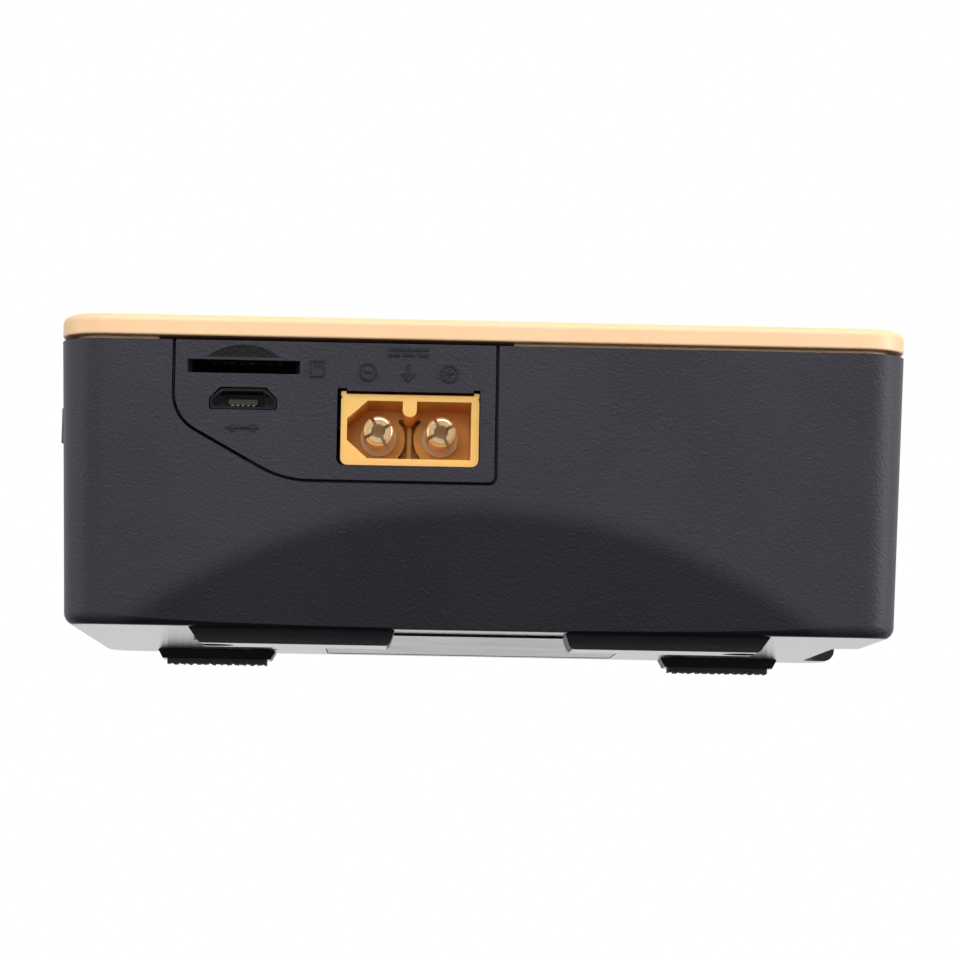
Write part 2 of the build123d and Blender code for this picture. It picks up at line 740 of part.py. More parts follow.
with BuildPart() as input_pins:
    with BuildSketch(Plane.XZ.offset(-xt_front_y - pin_recess)):
        with Locations((xt_x, xt_z)):
            with GridLocations(xt_pitch, 1, 2, 1):
                Circle(pin_radius)
    extrude(amount=-(xt_length - pin_recess + 2.2))
    tips = input_pins.edges().group_by(Axis.Y)[0]
    fillet(tips, 0.5)
    with BuildSketch(Plane.XZ.offset(-xt_front_y - pin_recess)):
        with Locations((xt_x, xt_z)):
            with GridLocations(xt_pitch, 1, 2, 1):
                Circle(pin_bore)
                Rectangle(pin_slit, 4, rotation=slit_turn)
                Rectangle(4, pin_slit, rotation=slit_turn)
    extrude(amount=-(xt_cavity_depth - pin_recess - 2), mode=Mode.SUBTRACT)
    # collars where the pins stand on the cavity floor
    with BuildSketch(Plane.XZ.offset(-xt_front_y - xt_cavity_depth + collar_length)):
        with Locations((xt_x, xt_z)):
            with GridLocations(xt_pitch, 1, 2, 1):
                Circle(collar_radius)
    extrude(amount=-collar_length)
    # tails down through the board
    with BuildSketch(Plane.XY.offset(power_pcb_top_z)):
        with Locations((xt_x, xt_front_y + xt_length + 1.2)):
            with GridLocations(xt_pitch, 1, 2, 1):
                Rectangle(*tail_section)
    extrude(amount=xt_z - power_pcb_top_z)
input_pins.part.label = "input_pins"
export_step(input_pins.part, "parts/input_pins.step")

# ================================================================ power output connector
output_front_y = face_y - face_setback(xt_z) - xt_face_gap
with BuildPart() as output_housing:
    with BuildSketch(Plane.XZ.offset(-output_front_y)):
        with Locations((output_x, xt_z)):
            Rectangle(xt_width, xt_height)
            Rectangle(xt_width - 2 * output_rim, xt_height - 2 * output_rim, mode=Mode.SUBTRACT)
    extrude(amount=2.0)
    with BuildSketch(Plane.XZ.offset(-output_front_y + 2.0)):
        with Locations((output_x, xt_z)):
            Rectangle(xt_width, xt_height)
    extrude(amount=xt_length - 2.0)
    with BuildSketch(Plane.XZ.offset(-output_front_y)) as plug:
        with Locations((output_x, xt_z)):
            Rectangle(*plug_size)
        chamfer(plug.vertices().group_by(Axis.X)[-1], 2.0)
    extrude(amount=2.6)
    with BuildSketch(Plane.XZ.offset(-output_front_y)):
        with Locations((output_x, xt_z)):
            with GridLocations(xt_pitch, 1, 2, 1):
                Circle(socket_bore + socket_wall + 0.02)
    extrude(amount=xt_length, mode=Mode.SUBTRACT)
output_housing.part.label = "output_housing"
export_step(output_housing.part, "parts/output_housing.step")

with BuildPart() as output_sockets:
    with BuildSketch(Plane.XZ.offset(-output_front_y + 0.3)):
        with Locations((output_x, xt_z)):
            with GridLocations(xt_pitch, 1, 2, 1):
                Circle(socket_bore + socket_wall)
    extrude(amount=xt_length + 1.9)
    with BuildSketch(Plane.XZ.offset(-output_front_y + 0.3)):
        with Locations((output_x, xt_z)):
            with GridLocations(xt_pitch, 1, 2, 1):
                Circle(socket_bore)
    extrude(amount=plug_length, mode=Mode.SUBTRACT)
    with BuildSketch(Plane.XY.offset(power_pcb_top_z)):
        with Locations((output_x, output_front_y - xt_length - 1.2)):
            with GridLocations(xt_pitch, 1, 2, 1):
                Rectangle(*tail_section)
    extrude(amount=xt_z - power_pcb_top_z)
output_sockets.part.label = "output_sockets"
export_step(output_sockets.part, "parts/output_sockets.step")

# ================================================================ balance socket
balance_front_y = face_y - face_setback(balance_z) - 0.4
with BuildPart() as balance_socket:
    with BuildSketch(Plane.XZ.offset(-balance_front_y)):
        with Locations((balance_x, balance_z)):
            Rectangle(balance_width, balance_height)
    extrude(amount=balance_length)
    with BuildSketch(Plane.XZ.offset(-balance_front_y)):
        with Locations((balance_x, balance_z)):
            Rectangle(balance_width - 2 * balance_wall, balance_height - 2 * balance_wall)
        with Locations((balance_x, balance_z + balance_height / 2)):
            with GridLocations(balance_width - 7, 1, 2, 1):
                Rectangle(1.6, 2)
    extrude(amount=balance_length - 2, mode=Mode.SUBTRACT)
    with BuildSketch(Plane.XZ.offset(-balance_front_y)):
        with Locations((balance_x, balance_z)):
            with GridLocations(balance_pitch, 1, balance_ways, 1):
                Rectangle(balance_pin + 0.04, balance_pin + 0.04)
    extrude(amount=balance_length + 1, mode=Mode.SUBTRACT)
balance_socket.part.label = "balance_socket"
export_step(balance_socket.part, "parts/balance_socket.step")

with BuildPart() as balance_pins:
    with BuildSketch(Plane.XZ.offset(-balance_front_y + 1.2)):
        with Locations((balance_x, balance_z)):
            with GridLocations(balance_pitch, 1, balance_ways, 1):
                Rectangle(balance_pin, balance_pin)
    extrude(amount=balance_length)
    with BuildSketch(Plane.XY.offset(power_pcb_top_z)):
        with Locations((balance_x, balance_front_y - 1.2 - balance_length + balance_pin / 2)):
            with GridLocations(balance_pitch, 1, balance_ways, 1):
                Rectangle(balance_pin, balance_pin)
    extrude(amount=balance_z - power_pcb_top_z)
balance_pins.part.label = "balance_pins"
export_step(balance_pins.part, "parts/balance_pins.step")

# ================================================================ micro socket and card socket
usb_front_y = -face_y + face_setback(usb_z) + 0.35
usb_outer = usb_outline(0)
usb_inner = usb_outline(-usb_sheet)
with BuildPart() as usb_shell:
    add(extrude(usb_outer, amount=-(usb_front_y + face_y + 1 + usb_length), mode=Mode.PRIVATE))
    extrude(usb_inner, amount=-(usb_front_y + face_y + 1 + usb_length - usb_sheet), mode=Mode.SUBTRACT)
    add(slab(-case_width, case_width, -case_depth, usb_front_y, 0, top_z), mode=Mode.SUBTRACT)
usb_shell.part.label = "usb_shell"
export_step(usb_shell.part, "parts/usb_shell.step")

tongue_z = usb_z - 0.35
with BuildPart() as usb_tongue:
    with BuildSketch(Plane.XZ.offset(-usb_front_y - 0.5)):
        with Locations((usb_x, tongue_z)):
            Rectangle(3.3, 0.6)
    extrude(amount=-(usb_length - 0.5 - usb_sheet))
    with BuildSketch(Plane.XZ.offset(-usb_front_y - 3.6)):
        with Locations((usb_x, usb_z - 0.12)):
            Rectangle(usb_top_width - 0.6, usb_height - 2 * usb_sheet - 0.3)
    extrude(amount=-(usb_length - 3.6 - usb_sheet))
usb_tongue.part.label = "usb_tongue"
export_step(usb_tongue.part, "parts/usb_tongue.step")

with BuildPart() as usb_contacts:
    with BuildSketch(Plane.XY.offset(tongue_z - 0.3 - 0.1)):
        with Locations((usb_x, usb_front_y + 2.0)):
            with GridLocations(0.6, 1, 5, 1):
                Rectangle(0.32, 2.6)
    extrude(amount=0.1)
usb_contacts.part.label = "usb_contacts"
export_step(usb_contacts.part, "parts/usb_contacts.step")

card_front_y = -face_y + wall + flange_thickness + 0.15
card_socket_width, card_socket_length, card_socket_height = card_socket_size
with BuildPart() as card_socket:
    with BuildSketch(Plane.XY.offset(control_pcb_top_z)):
        with Locations((card_x, card_front_y + card_socket_length / 2)):
            Rectangle(card_socket_width, card_socket_length)
    extrude(amount=card_socket_height)
    with BuildSketch(Plane.XZ.offset(-card_front_y)):
        with Locations((card_x, card_slot_z)):
            Rectangle(card_slot_width, card_slot_height)
    extrude(amount=-(card_socket_length - 1.2), mode=Mode.SUBTRACT)
card_socket.part.label = "card_socket"
export_step(card_socket.part, "parts/card_socket.step")

with BuildPart() as card_contacts:
    with BuildSketch(Plane.XY.offset(card_slot_z - card_slot_height / 2)):
        with Locations((card_x, card_front_y + card_socket_length - 4.6)):
            with GridLocations(1.1, 1, 8, 1):
                Rectangle(0.5, 4.0)
    extrude(amount=0.25)
card_contacts.part.label = "card_contacts"
export_step(card_contacts.part, "parts/card_contacts.step")

# ================================================================ top bezel, display
skirt_inset = wall + fit
bezel_lip = drafted_block(skirt_inset, body_top_z + 1, body_top_z - skirt_depth)
bezel_hollow = drafted_block(skirt_inset + skirt_thickness, body_top_z + 2, body_top_z - skirt_depth - 1)
with BuildPart() as top_bezel:
    with BuildSketch(Plane.XY.offset(bezel_z)):
        RectangleRounded(case_width, case_depth, corner_radius)
    extrude(amount=bezel_height)
    fillet(top_bezel.faces().sort_by(Axis.Z)[-1].edges(), bezel_edge_radius)
    fillet(top_bezel.faces().sort_by(Axis.Z)[0].edges(), 0.25)
behind_panel = slab(panel_left_x - flange_overlap - 0.4, panel_right_x + flange_overlap + 0.4,
                    -case_depth, -face_y + wall + flange_thickness + 0.2, 0, bezel_z)
with BuildPart() as skirt:
    add(bezel_lip)
    add(bezel_hollow, mode=Mode.SUBTRACT)
    add(behind_panel, mode=Mode.SUBTRACT)
with top_bezel:
    add(skirt.part)
    with BuildSketch(Plane.XY.offset(control_pcb_top_z + 0.05)):
        with Locations(*post_places):
            Circle(post_radius)
    extrude(amount=bezel_z - control_pcb_top_z + 0.4)
    with BuildSketch(Plane.XY.offset(bezel_z - 1)):
        RectangleRounded(window_width - 2 * ledge, window_depth - 2 * ledge, 2.0)
    extrude(amount=bezel_height + 2, mode=Mode.SUBTRACT)
    with BuildSketch(Plane.XY.offset(window_z - 0.05)):
        RectangleRounded(window_width + 2 * fit, window_depth + 2 * fit, window_corner + fit)
    extrude(amount=bezel_height, mode=Mode.SUBTRACT)
    with BuildSketch(Plane.XY.offset(control_pcb_z)):
        with Locations(*post_places):
            Circle(post_screw_radius + 0.03)
    extrude(amount=6.5, mode=Mode.SUBTRACT)
top_bezel.part.label = "top_bezel"
export_step(top_bezel.part, "parts/top_bezel.step")

with BuildPart() as display_window:
    with BuildSketch(Plane.XY.offset(window_z)):
        RectangleRounded(window_width, window_depth, window_corner)
        with Locations((button_x, button_y)):
            Circle(button_radius + 0.3, mode=Mode.SUBTRACT)
    extrude(amount=window_thickness)
    chamfer(display_window.faces().sort_by(Axis.Z)[-1].outer_wire().edges(), 0.2)
display_window.part.label = "display_window"
export_step(display_window.part, "parts/display_window.step")

with BuildPart() as lcd_module:
    with BuildSketch(Plane.XY.offset(lcd_z)):
        with Locations((lcd_x, 0)):
            Rectangle(lcd_width, lcd_depth)
    extrude(amount=lcd_thickness)
lcd_module.part.label = "lcd_module"
export_step(lcd_module.part, "parts/lcd_module.step")

tray_z = lcd_z - 0.05 - tray_thickness
with BuildPart() as lcd_tray:
    with BuildSketch(Plane.XY.offset(tray_z)):
        with Locations((lcd_x, 0)):
            Rectangle(lcd_width, lcd_depth + 2 * tray_thickness + 0.2)
            with GridLocations(lcd_width / 3, 1, 3, 1):
                RectangleRounded(lcd_width / 3 - 6, lcd_depth - 12, 2, mode=Mode.SUBTRACT)
    extrude(amount=tray_thickness)
    with BuildSketch(Plane.XY.offset(tray_z)):
        for side in (-1, 1):
            with Locations((lcd_x, side * (lcd_depth / 2 + 0.1 + tray_thickness / 2))):
                Rectangle(lcd_width, tray_thickness)
    extrude(amount=tray_thickness + lcd_thickness * 0.8)
lcd_tray.part.label = "lcd_tray"
export_step(lcd_tray.part, "parts/lcd_tray.step")

flex_out_x = lcd_x + lcd_width / 2 + 1.6
flex_in_x = flex_out_x - 5.5
flex_high_z = lcd_z + lcd_thickness / 2
flex_low_z = control_pcb_top_z + 0.7
with BuildPart() as flex_cable:
    with BuildSketch(Plane.XZ.offset(-flex_width / 2)):
        with BuildLine() as route:
            Polyline((lcd_x + lcd_width / 2 + 0.15, flex_high_z), (flex_out_x, flex_high_z),
                     (flex_out_x, flex_low_z), (flex_in_x, flex_low_z))
            fillet(route.vertices().sort_by(Axis.X)[-2:], 0.6)
            offset(amount=flex_thickness / 2, side=Side.BOTH)
        make_face()
    extrude(amount=flex_width)
flex_cable.part.label = "flex_cable"
export_step(flex_cable.part, "parts/flex_cable.step")

with BuildPart() as flex_socket:
    with BuildSketch(Plane.XY.offset(control_pcb_top_z)):
        with Locations((flex_in_x - 1.0, 0)):
            Rectangle(3.0, flex_width + 2)
    extrude(amount=1.4)
    with BuildSketch(Plane.XY.offset(flex_low_z - flex_thickness / 2 - 0.02)):
        with Locations((flex_in_x + 0.2, 0)):
            Rectangle(1.8, flex_width + 0.2)
    extrude(amount=flex_thickness + 0.04, mode=Mode.SUBTRACT)
flex_socket.part.label = "flex_socket"
export_step(flex_socket.part, "parts/flex_socket.step")

# ================================================================ push button
cap_top_z = top_z + button_rise
cap_flange_z = window_z - 0.3 - 0.8
cap_bottom_z = cap_flange_z - 0.9
with BuildPart() as push_button:
    with BuildSketch(Plane.XY.offset(cap_flange_z)):
        with Locations((button_x, button_y)):
            Circle(button_radius)
    extrude(amount=cap_top_z - cap_flange_z)
    fillet(push_button.edges().sort_by(Axis.Z)[-1], 0.6)
    with BuildSketch(Plane.XY.offset(cap_flange_z)):
        with Locations((button_x, button_y)):
            Circle(button_radius + 0.9)
    extrude(amount=0.8)
    with BuildSketch(Plane.XY.offset(cap_bottom_z)):
        with Locations((button_x, button_y)):
            Circle(1.8)
    extrude(amount=cap_flange_z - cap_bottom_z)
    with BuildSketch(Plane.XY.offset(cap_top_z)):
        with Locations((button_x, button_y)):
            Circle(2.2)
            Circle(1.9, mode=Mode.SUBTRACT)
    extrude(amount=-0.2, mode=Mode.SUBTRACT)
push_button.part.label = "push_button"
export_step(push_button.part, "parts/push_button.step")

switch_top_z = cap_bottom_z - button_travel - 0.15
with BuildPart() as button_switch:
    with BuildSketch(Plane.XY.offset(control_pcb_top_z)):
        with Locations((button_x, button_y)):
            Rectangle(6, 6)
    extrude(amount=switch_top_z - 0.6 - control_pcb_top_z)
    with BuildSketch(Plane.XY.offset(switch_top_z - 0.6)):
        with Locations((button_x, button_y)):
            Circle(1.7)
    extrude(amount=0.6)
button_switch.part.label = "button_switch"
export_step(button_switch.part, "parts/button_switch.step")

# ================================================================ jog wheel
wheel_low_z = wheel_z - wheel_thickness / 2
with BuildPart() as jog_wheel:
    with BuildSketch(Plane.XY.offset(wheel_low_z)):
        with Locations((wheel_x, wheel_y)):
            Circle(wheel_radius)
            with PolarLocations(wheel_radius, knurl_count):
                Rectangle(2 * knurl_depth, 0.5, mode=Mode.SUBTRACT)
            Circle(axle_radius + axle_clearance, mode=Mode.SUBTRACT)
    extrude(amount=wheel_thickness)
    with BuildSketch(Plane.XY.offset(wheel_low_z + wheel_thickness)):
        with Locations((wheel_x, wheel_y)):
            Circle(wheel_radius - 1.8)
            Circle(2.8, mode=Mode.SUBTRACT)
    extrude(amount=-0.8, mode=Mode.SUBTRACT)
jog_wheel.part.label = "jog_wheel"
export_step(jog_wheel.part, "parts/jog_wheel.step")

plate_top_z = wheel_low_z - 0.3
plate_z = plate_top_z - plate_thickness
plate_end_x = wheel_x + wheel_radius + 5.0
axle_top_z = wheel_z + wheel_thickness / 2 + 0.25
with BuildPart() as wheel_carrier:
    with BuildSketch(Plane.XY.offset(plate_z)):
        rect_between(wheel_x - 2.8, plate_end_x, wheel_y - plate_width / 2, wheel_y + plate_width / 2)
        with Locations((wheel_x, wheel_y)):
            Circle(axle_radius + 0.02, mode=Mode.SUBTRACT)
    extrude(amount=plate_thickness)
wheel_carrier.part.label = "wheel_carrier"
export_step(wheel_carrier.part, "parts/wheel_carrier.step")

with BuildPart() as wheel_axle:
    with BuildSketch(Plane.XY.offset(plate_z)):
        with Locations((wheel_x, wheel_y)):
            Circle(axle_radius)
    extrude(amount=axle_top_z - plate_z + 0.1)
    with BuildSketch(Plane.XY.offset(axle_top_z)):
        with Locations((wheel_x, wheel_y)):
            Circle(2.0)
    extrude(amount=0.5)
wheel_axle.part.label = "wheel_axle"
export_step(wheel_axle.part, "parts/wheel_axle.step")

guide_x = wheel_x + wheel_radius + press_travel + 1.0
guide_end_x = plate_end_x + press_travel + 2.0
with BuildPart() as encoder_base:
    with BuildSketch(Plane.XY.offset(plate_z - 1.2)):
        rect_between(guide_x, guide_end_x, wheel_y - plate_width / 2 - 2, wheel_y + plate_width / 2 + 2)
    extrude(amount=control_pcb_z - plate_z + 1.2)
    with BuildSketch(Plane.XY.offset(plate_z - fit)):
        rect_between(guide_x - 1, plate_end_x + press_travel + 0.2,
                     wheel_y - plate_width / 2 - fit, wheel_y + plate_width / 2 + fit)
    extrude(amount=plate_thickness + 2 * fit, mode=Mode.SUBTRACT)
encoder_base.part.label = "encoder_base"
export_step(encoder_base.part, "parts/encoder_base.step")

# ================================================================ fan
hub_z = fan_z + 0.8
hub_top_z = fan_top_z - 2.0
bearing_z = hub_z + hub_floor + 0.8
with BuildPart() as fan_frame:
    with BuildSketch(Plane.XY.offset(fan_z)):
        with Locations((fan_x, fan_y)):
            RectangleRounded(fan_size, fan_size, 3.0)
            Circle(fan_bore, mode=Mode.SUBTRACT)
            with GridLocations(fan_hole_pitch, fan_hole_pitch, 2, 2):
                Circle(fan_screw_radius + fit, mode=Mode.SUBTRACT)
    extrude(amount=fan_height)
    with BuildSketch(Plane.XY.offset(fan_top_z - spider_thickness)):
        with Locations((fan_x, fan_y)):
            Circle(fan_hub_radius + 0.3)
            with PolarLocations((fan_bore + fan_hub_radius) / 2, 3, start_angle=30):
                Rectangle(fan_bore - fan_hub_radius + 1.0, 2.6)
    extrude(amount=spider_thickness)
    with BuildSketch(Plane.XY.offset(bearing_z)):
        with Locations((fan_x, fan_y)):
            Circle(bearing_radius + 1.0)
    extrude(amount=fan_top_z - spider_thickness - bearing_z + 0.1)
    with BuildSketch(Plane.XY.offset(bearing_z - 1)):
        with Locations((fan_x, fan_y)):
            Circle(bearing_radius + 0.02)
    extrude(amount=fan_top_z - 0.5 - bearing_z + 1, mode=Mode.SUBTRACT)
fan_frame.part.label = "fan_frame"
export_step(fan_frame.part, "parts/fan_frame.step")

with BuildPart() as fan_bearing:
    with BuildSketch(Plane.XY.offset(bearing_z)):
        with Locations((fan_x, fan_y)):
            Circle(bearing_radius)
            Circle(fan_shaft_radius + axle_clearance, mode=Mode.SUBTRACT)
    extrude(amount=fan_top_z - spider_thickness - bearing_z)
fan_bearing.part.label = "fan_bearing"
export_step(fan_bearing.part, "parts/fan_bearing.step")

with BuildPart() as fan_shaft:
    with BuildSketch(Plane.XY.offset(hub_z + 0.3)):
        with Locations((fan_x, fan_y)):
            Circle(fan_shaft_radius)
    extrude(amount=fan_top_z - spider_thickness - hub_z - 0.6)
fan_shaft.part.label = "fan_shaft"
export_step(fan_shaft.part, "parts/fan_shaft.step")

with BuildPart() as blade_ring:
    with BuildSketch(Plane.XY.offset(hub_z + 0.3)):
        with Locations((fan_x, fan_y)):
            Circle(fan_bore - blade_tip_gap)
            Circle(fan_hub_radius - 0.4, mode=Mode.SUBTRACT)
    extrude(amount=hub_top_z - hub_z - 0.6)
blade_mid_z = (hub_z + hub_top_z) / 2
blade_root = fan_hub_radius - 1.0
with BuildPart() as blades:
    for index in range(blade_count):
        turn = math.radians(360 * index / blade_count)
        outward = (math.cos(turn), math.sin(turn), 0)
        lean = math.radians(blade_pitch)
        along = (-math.sin(turn) * math.cos(lean), math.cos(turn) * math.cos(lean), math.sin(lean))
        root = (fan_x + outward[0] * blade_root, fan_y + outward[1] * blade_root, blade_mid_z)
        with BuildSketch(Plane(origin=root, x_dir=along, z_dir=outward)):
            RectangleRounded(blade_chord, blade_thickness, 0.4)
        extrude(amount=fan_bore - blade_root + 2)
with BuildPart() as fan_rotor:
    add(blades.part)
    add(blade_ring.part, mode=Mode.INTERSECT)
    with BuildSketch(Plane.XY.offset(hub_z)):
        with Locations((fan_x, fan_y)):
            Circle(fan_hub_radius)
    extrude(amount=hub_top_z - hub_z)
    with BuildSketch(Plane.XY.offset(hub_z + hub_floor)):
        with Locations((fan_x, fan_y)):
            Circle(magnet_radius + 0.02)
            Circle(1.9, mode=Mode.SUBTRACT)
    extrude(amount=hub_top_z - hub_z, mode=Mode.SUBTRACT)
    with BuildSketch(Plane.XY.offset(bearing_z - 0.3)):
        with Locations((fan_x, fan_y)):
            Circle(magnet_radius)
    extrude(amount=hub_top_z, mode=Mode.SUBTRACT)
    with BuildSketch(Plane.XY.offset(hub_z + 0.3)):
        with Locations((fan_x, fan_y)):
            Circle(fan_shaft_radius + 0.01)
    extrude(amount=hub_top_z - hub_z, mode=Mode.SUBTRACT)
fan_rotor.part.label = "fan_rotor"
export_step(fan_rotor.part, "parts/fan_rotor.step")

with BuildPart() as rotor_magnet:
    with BuildSketch(Plane.XY.offset(hub_z + hub_floor + 0.1)):
        with Locations((fan_x, fan_y)):
            Circle(magnet_radius)
            Circle(magnet_radius - 0.9, mode=Mode.SUBTRACT)
    extrude(amount=hub_top_z - hub_z - hub_floor - 0.4)
rotor_magnet.part.label = "rotor_magnet"
export_step(rotor_magnet.part, "parts/rotor_magnet.step")

with BuildPart() as fan_stator:
    with BuildSketch(Plane.XY.offset(bearing_z + 0.4)):
        with Locations((fan_x, fan_y)):
            Circle(magnet_radius - 1.4)
            Circle(bearing_radius + 1.02, mode=Mode.SUBTRACT)
            with PolarLocations(magnet_radius - 1.6, 4, start_angle=45):
                Rectangle(3.0, 1.2, mode=Mode.SUBTRACT)
    extrude(amount=fan_top_z - spider_thickness - bearing_z - 0.6)
fan_stator.part.label = "fan_stator"
export_step(fan_stator.part, "parts/fan_stator.step")

fan_screws = pan_screws(fan_corners, fan_top_z, -1, fan_screw_radius, fan_top_z - floor_z - fit, 2.6, 1.6)
fan_screws.part.label = "fan_screws"
export_step(fan_screws.part, "parts/fan_screws.step")

# ================================================================ feet and label
rubber_width = foot_width - 2 * (rubber_inset + rubber_gap)
rubber_length = foot_length - 2 * (rubber_side_inset + rubber_gap)
with BuildPart() as rubber_feet:
    with BuildSketch(Plane.XY):
        for side in (-1, 1):
            with Locations((side * foot_x, foot_y)):
                Rectangle(rubber_width, rubber_length)
    extrude(amount=base_z - boss_drop + rubber_seat - 0.02)
    with BuildSketch(Plane.XY):
        for side in (-1, 1):
            with Locations((side * foot_x, foot_y)):
                with GridLocations(rubber_width / rubber_rib_count, 1, rubber_rib_count - 1, 1):
                    Rectangle(0.5, rubber_length + 1)
    extrude(amount=0.25, mode=Mode.SUBTRACT)
rubber_feet.part.label = "rubber_feet"
export_step(rubber_feet.part, "parts/rubber_feet.step")

with BuildPart() as label_plate:
    with BuildSketch(Plane.XY.offset(pad_z + label_pocket - label_thickness - 0.01)):
        with Locations((0, label_y)):
            RectangleRounded(label_width, label_length, 1.0)
    extrude(amount=label_thickness)
label_plate.part.label = "label_plate"
export_step(label_plate.part, "parts/label_plate.step")

# ================================================================ power parts
with BuildPart() as heatsink:
    with BuildSketch(Plane.XY.offset(sink_base_z)):
        rect_between(sink_x0, sink_x1, sink_y0, sink_y1)
    extrude(amount=sink_top_z - sink_base_z)
    with BuildSketch(Plane.XY.offset(sink_low_z)):
        with Locations(((sink_x0 + sink_x1) / 2, (sink_y0 + sink_y1) / 2)):
            with GridLocations(1, (sink_y1 - sink_y0 - sink_fin) / (sink_fin_count - 1), 1, sink_fin_count):
                Rectangle(sink_x1 - sink_x0, sink_fin)
    extrude(amount=sink_base_z - sink_low_z)
heatsink.part.label = "heatsink"
export_step(heatsink.part, "parts/heatsink.step")

with BuildPart() as thermal_pad:
    with BuildSketch(Plane.XY.offset(sink_top_z)):
        rect_between(sink_x0 + 1, sink_x1 - 1, sink_y0 + 1, sink_y1 - 1)
    extrude(amount=thermal_pad_thickness)
thermal_pad.part.label = "thermal_pad"
export_step(thermal_pad.part, "parts/thermal_pad.step")

with BuildPart() as power_transistors:
    with BuildSketch(Plane.XY.offset(sink_top_z + thermal_pad_thickness)):
        with Locations(((sink_x0 + sink_x1) / 2, (sink_y0 + sink_y1) / 2)):
            with GridLocations(8.6, 7.4, 2, 3):
                Rectangle(6.6, 5.6)
    extrude(amount=transistor_height)
power_transistors.part.label = "power_transistors"
export_step(power_transistors.part, "parts/power_transistors.step")

core_z = power_pcb_top_z + wire_thickness
with BuildPart() as inductor_cores:
    with BuildSketch(Plane.XY.offset(core_z)):
        with Locations(*inductor_places):
            Circle(core_radii[1])
            Circle(core_radii[0], mode=Mode.SUBTRACT)
    extrude(amount=core_height)
inductor_cores.part.label = "inductor_cores"
export_step(inductor_cores.part, "parts/inductor_cores.step")

turn_inner = core_radii[0] - 1.2
with BuildPart() as inductor_windings:
    for x, y in inductor_places:
        with BuildSketch(Plane.XY.offset(power_pcb_top_z)):
            with Locations((x, y)):
                with PolarLocations((inductor_radius + turn_inner) / 2, winding_turns, start_angle=20,
                                    angular_range=290):
                    Rectangle(inductor_radius - turn_inner, 1.0)
        extrude(amount=core_height + 2 * wire_thickness)
    with BuildSketch(Plane.XY.offset(core_z - 0.02)):
        with Locations(*inductor_places):
            Circle(core_radii[1] + 0.02)
            Circle(core_radii[0] - 0.02, mode=Mode.SUBTRACT)
    extrude(amount=core_height + 0.04, mode=Mode.SUBTRACT)
inductor_windings.part.label = "inductor_windings"
export_step(inductor_windings.part, "parts/inductor_windings.step")

with BuildPart() as capacitors:
    with BuildSketch(Plane.XZ.offset(-capacitor_front_y)):
        for x in capacitor_xs:
            with Locations((x, power_pcb_top_z + capacitor_radius + 0.05)):
                Circle(capacitor_radius)
    extrude(amount=-capacitor_length)
    fillet(capacitors.edges().filter_by(GeomType.CIRCLE), 0.5)
capacitors.part.label = "capacitors"
export_step(capacitors.part, "parts/capacitors.step")

with BuildPart() as buzzer:
    with BuildSketch(Plane.XY.offset(power_pcb_top_z)):
        with Locations(buzzer_place):
            Circle(buzzer_radius)
    extrude(amount=buzzer_height)
    with BuildSketch(Plane.XY.offset(power_pcb_top_z + buzzer_height)):
        with Locations(buzzer_place):
            Circle(buzzer_radius / 4)
    extrude(amount=-1.5, mode=Mode.SUBTRACT)
buzzer.part.label = "buzzer"
export_step(buzzer.part, "parts/buzzer.step")

with BuildPart() as controller_chips:
    with BuildSketch(Plane.XY.offset(control_pcb_top_z)):
        with Locations((8.0, -8.0), (8.0, 9.0)):
            RectangleRounded(9.0, 9.0, 0.4)
    extrude(amount=1.2)
controller_chips.part.label = "controller_chips"
export_step(controller_chips.part, "parts/controller_chips.step")

with BuildPart() as driver_chips:
    with BuildSketch(Plane.XY.offset(power_pcb_top_z)):
        with Locations((18.0, 10.0)):
            with GridLocations(8.0, 7.0, 2, 1):
                Rectangle(5.0, 4.0)
    extrude(amount=1.6)
driver_chips.part.label = "driver_chips"
export_step(driver_chips.part, "parts/driver_chips.step")

with BuildPart() as board_header:
    with BuildSketch(Plane.XY.offset(power_pcb_top_z)):
        with Locations((header_x, header_y)):
            Rectangle(header_pitch * header_ways + 1, 2 * header_pitch + 0.4)
            with GridLocations(header_pitch, header_pitch, header_ways, 2):
                Rectangle(header_pin + 0.04, header_pin + 0.04, mode=Mode.SUBTRACT)
    extrude(amount=control_pcb_z - power_pcb_top_z)
board_header.part.label = "board_header"
export_step(board_header.part, "parts/board_header.step")

with BuildPart() as header_pins:
    with BuildSketch(Plane.XY.offset(power_pcb_top_z)):
        with Locations((header_x, header_y)):
            with GridLocations(header_pitch, header_pitch, header_ways, 2):
                Rectangle(header_pin, header_pin)
    extrude(amount=control_pcb_z - power_pcb_top_z)
header_pins.part.label = "header_pins"
export_step(header_pins.part, "parts/header_pins.step")

with BuildPart() as shunt_resistors:
    with BuildSketch(Plane.XY.offset(power_pcb_top_z)):
        with Locations((-32.0, -15.0)):
            with GridLocations(1, 5.0, 1, 3):
                Rectangle(6.4, 3.2)
    extrude(amount=0.9)
shunt_resistors.part.label = "shunt_resistors"
export_step(shunt_resistors.part, "parts/shunt_resistors.step")
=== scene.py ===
import json
import math

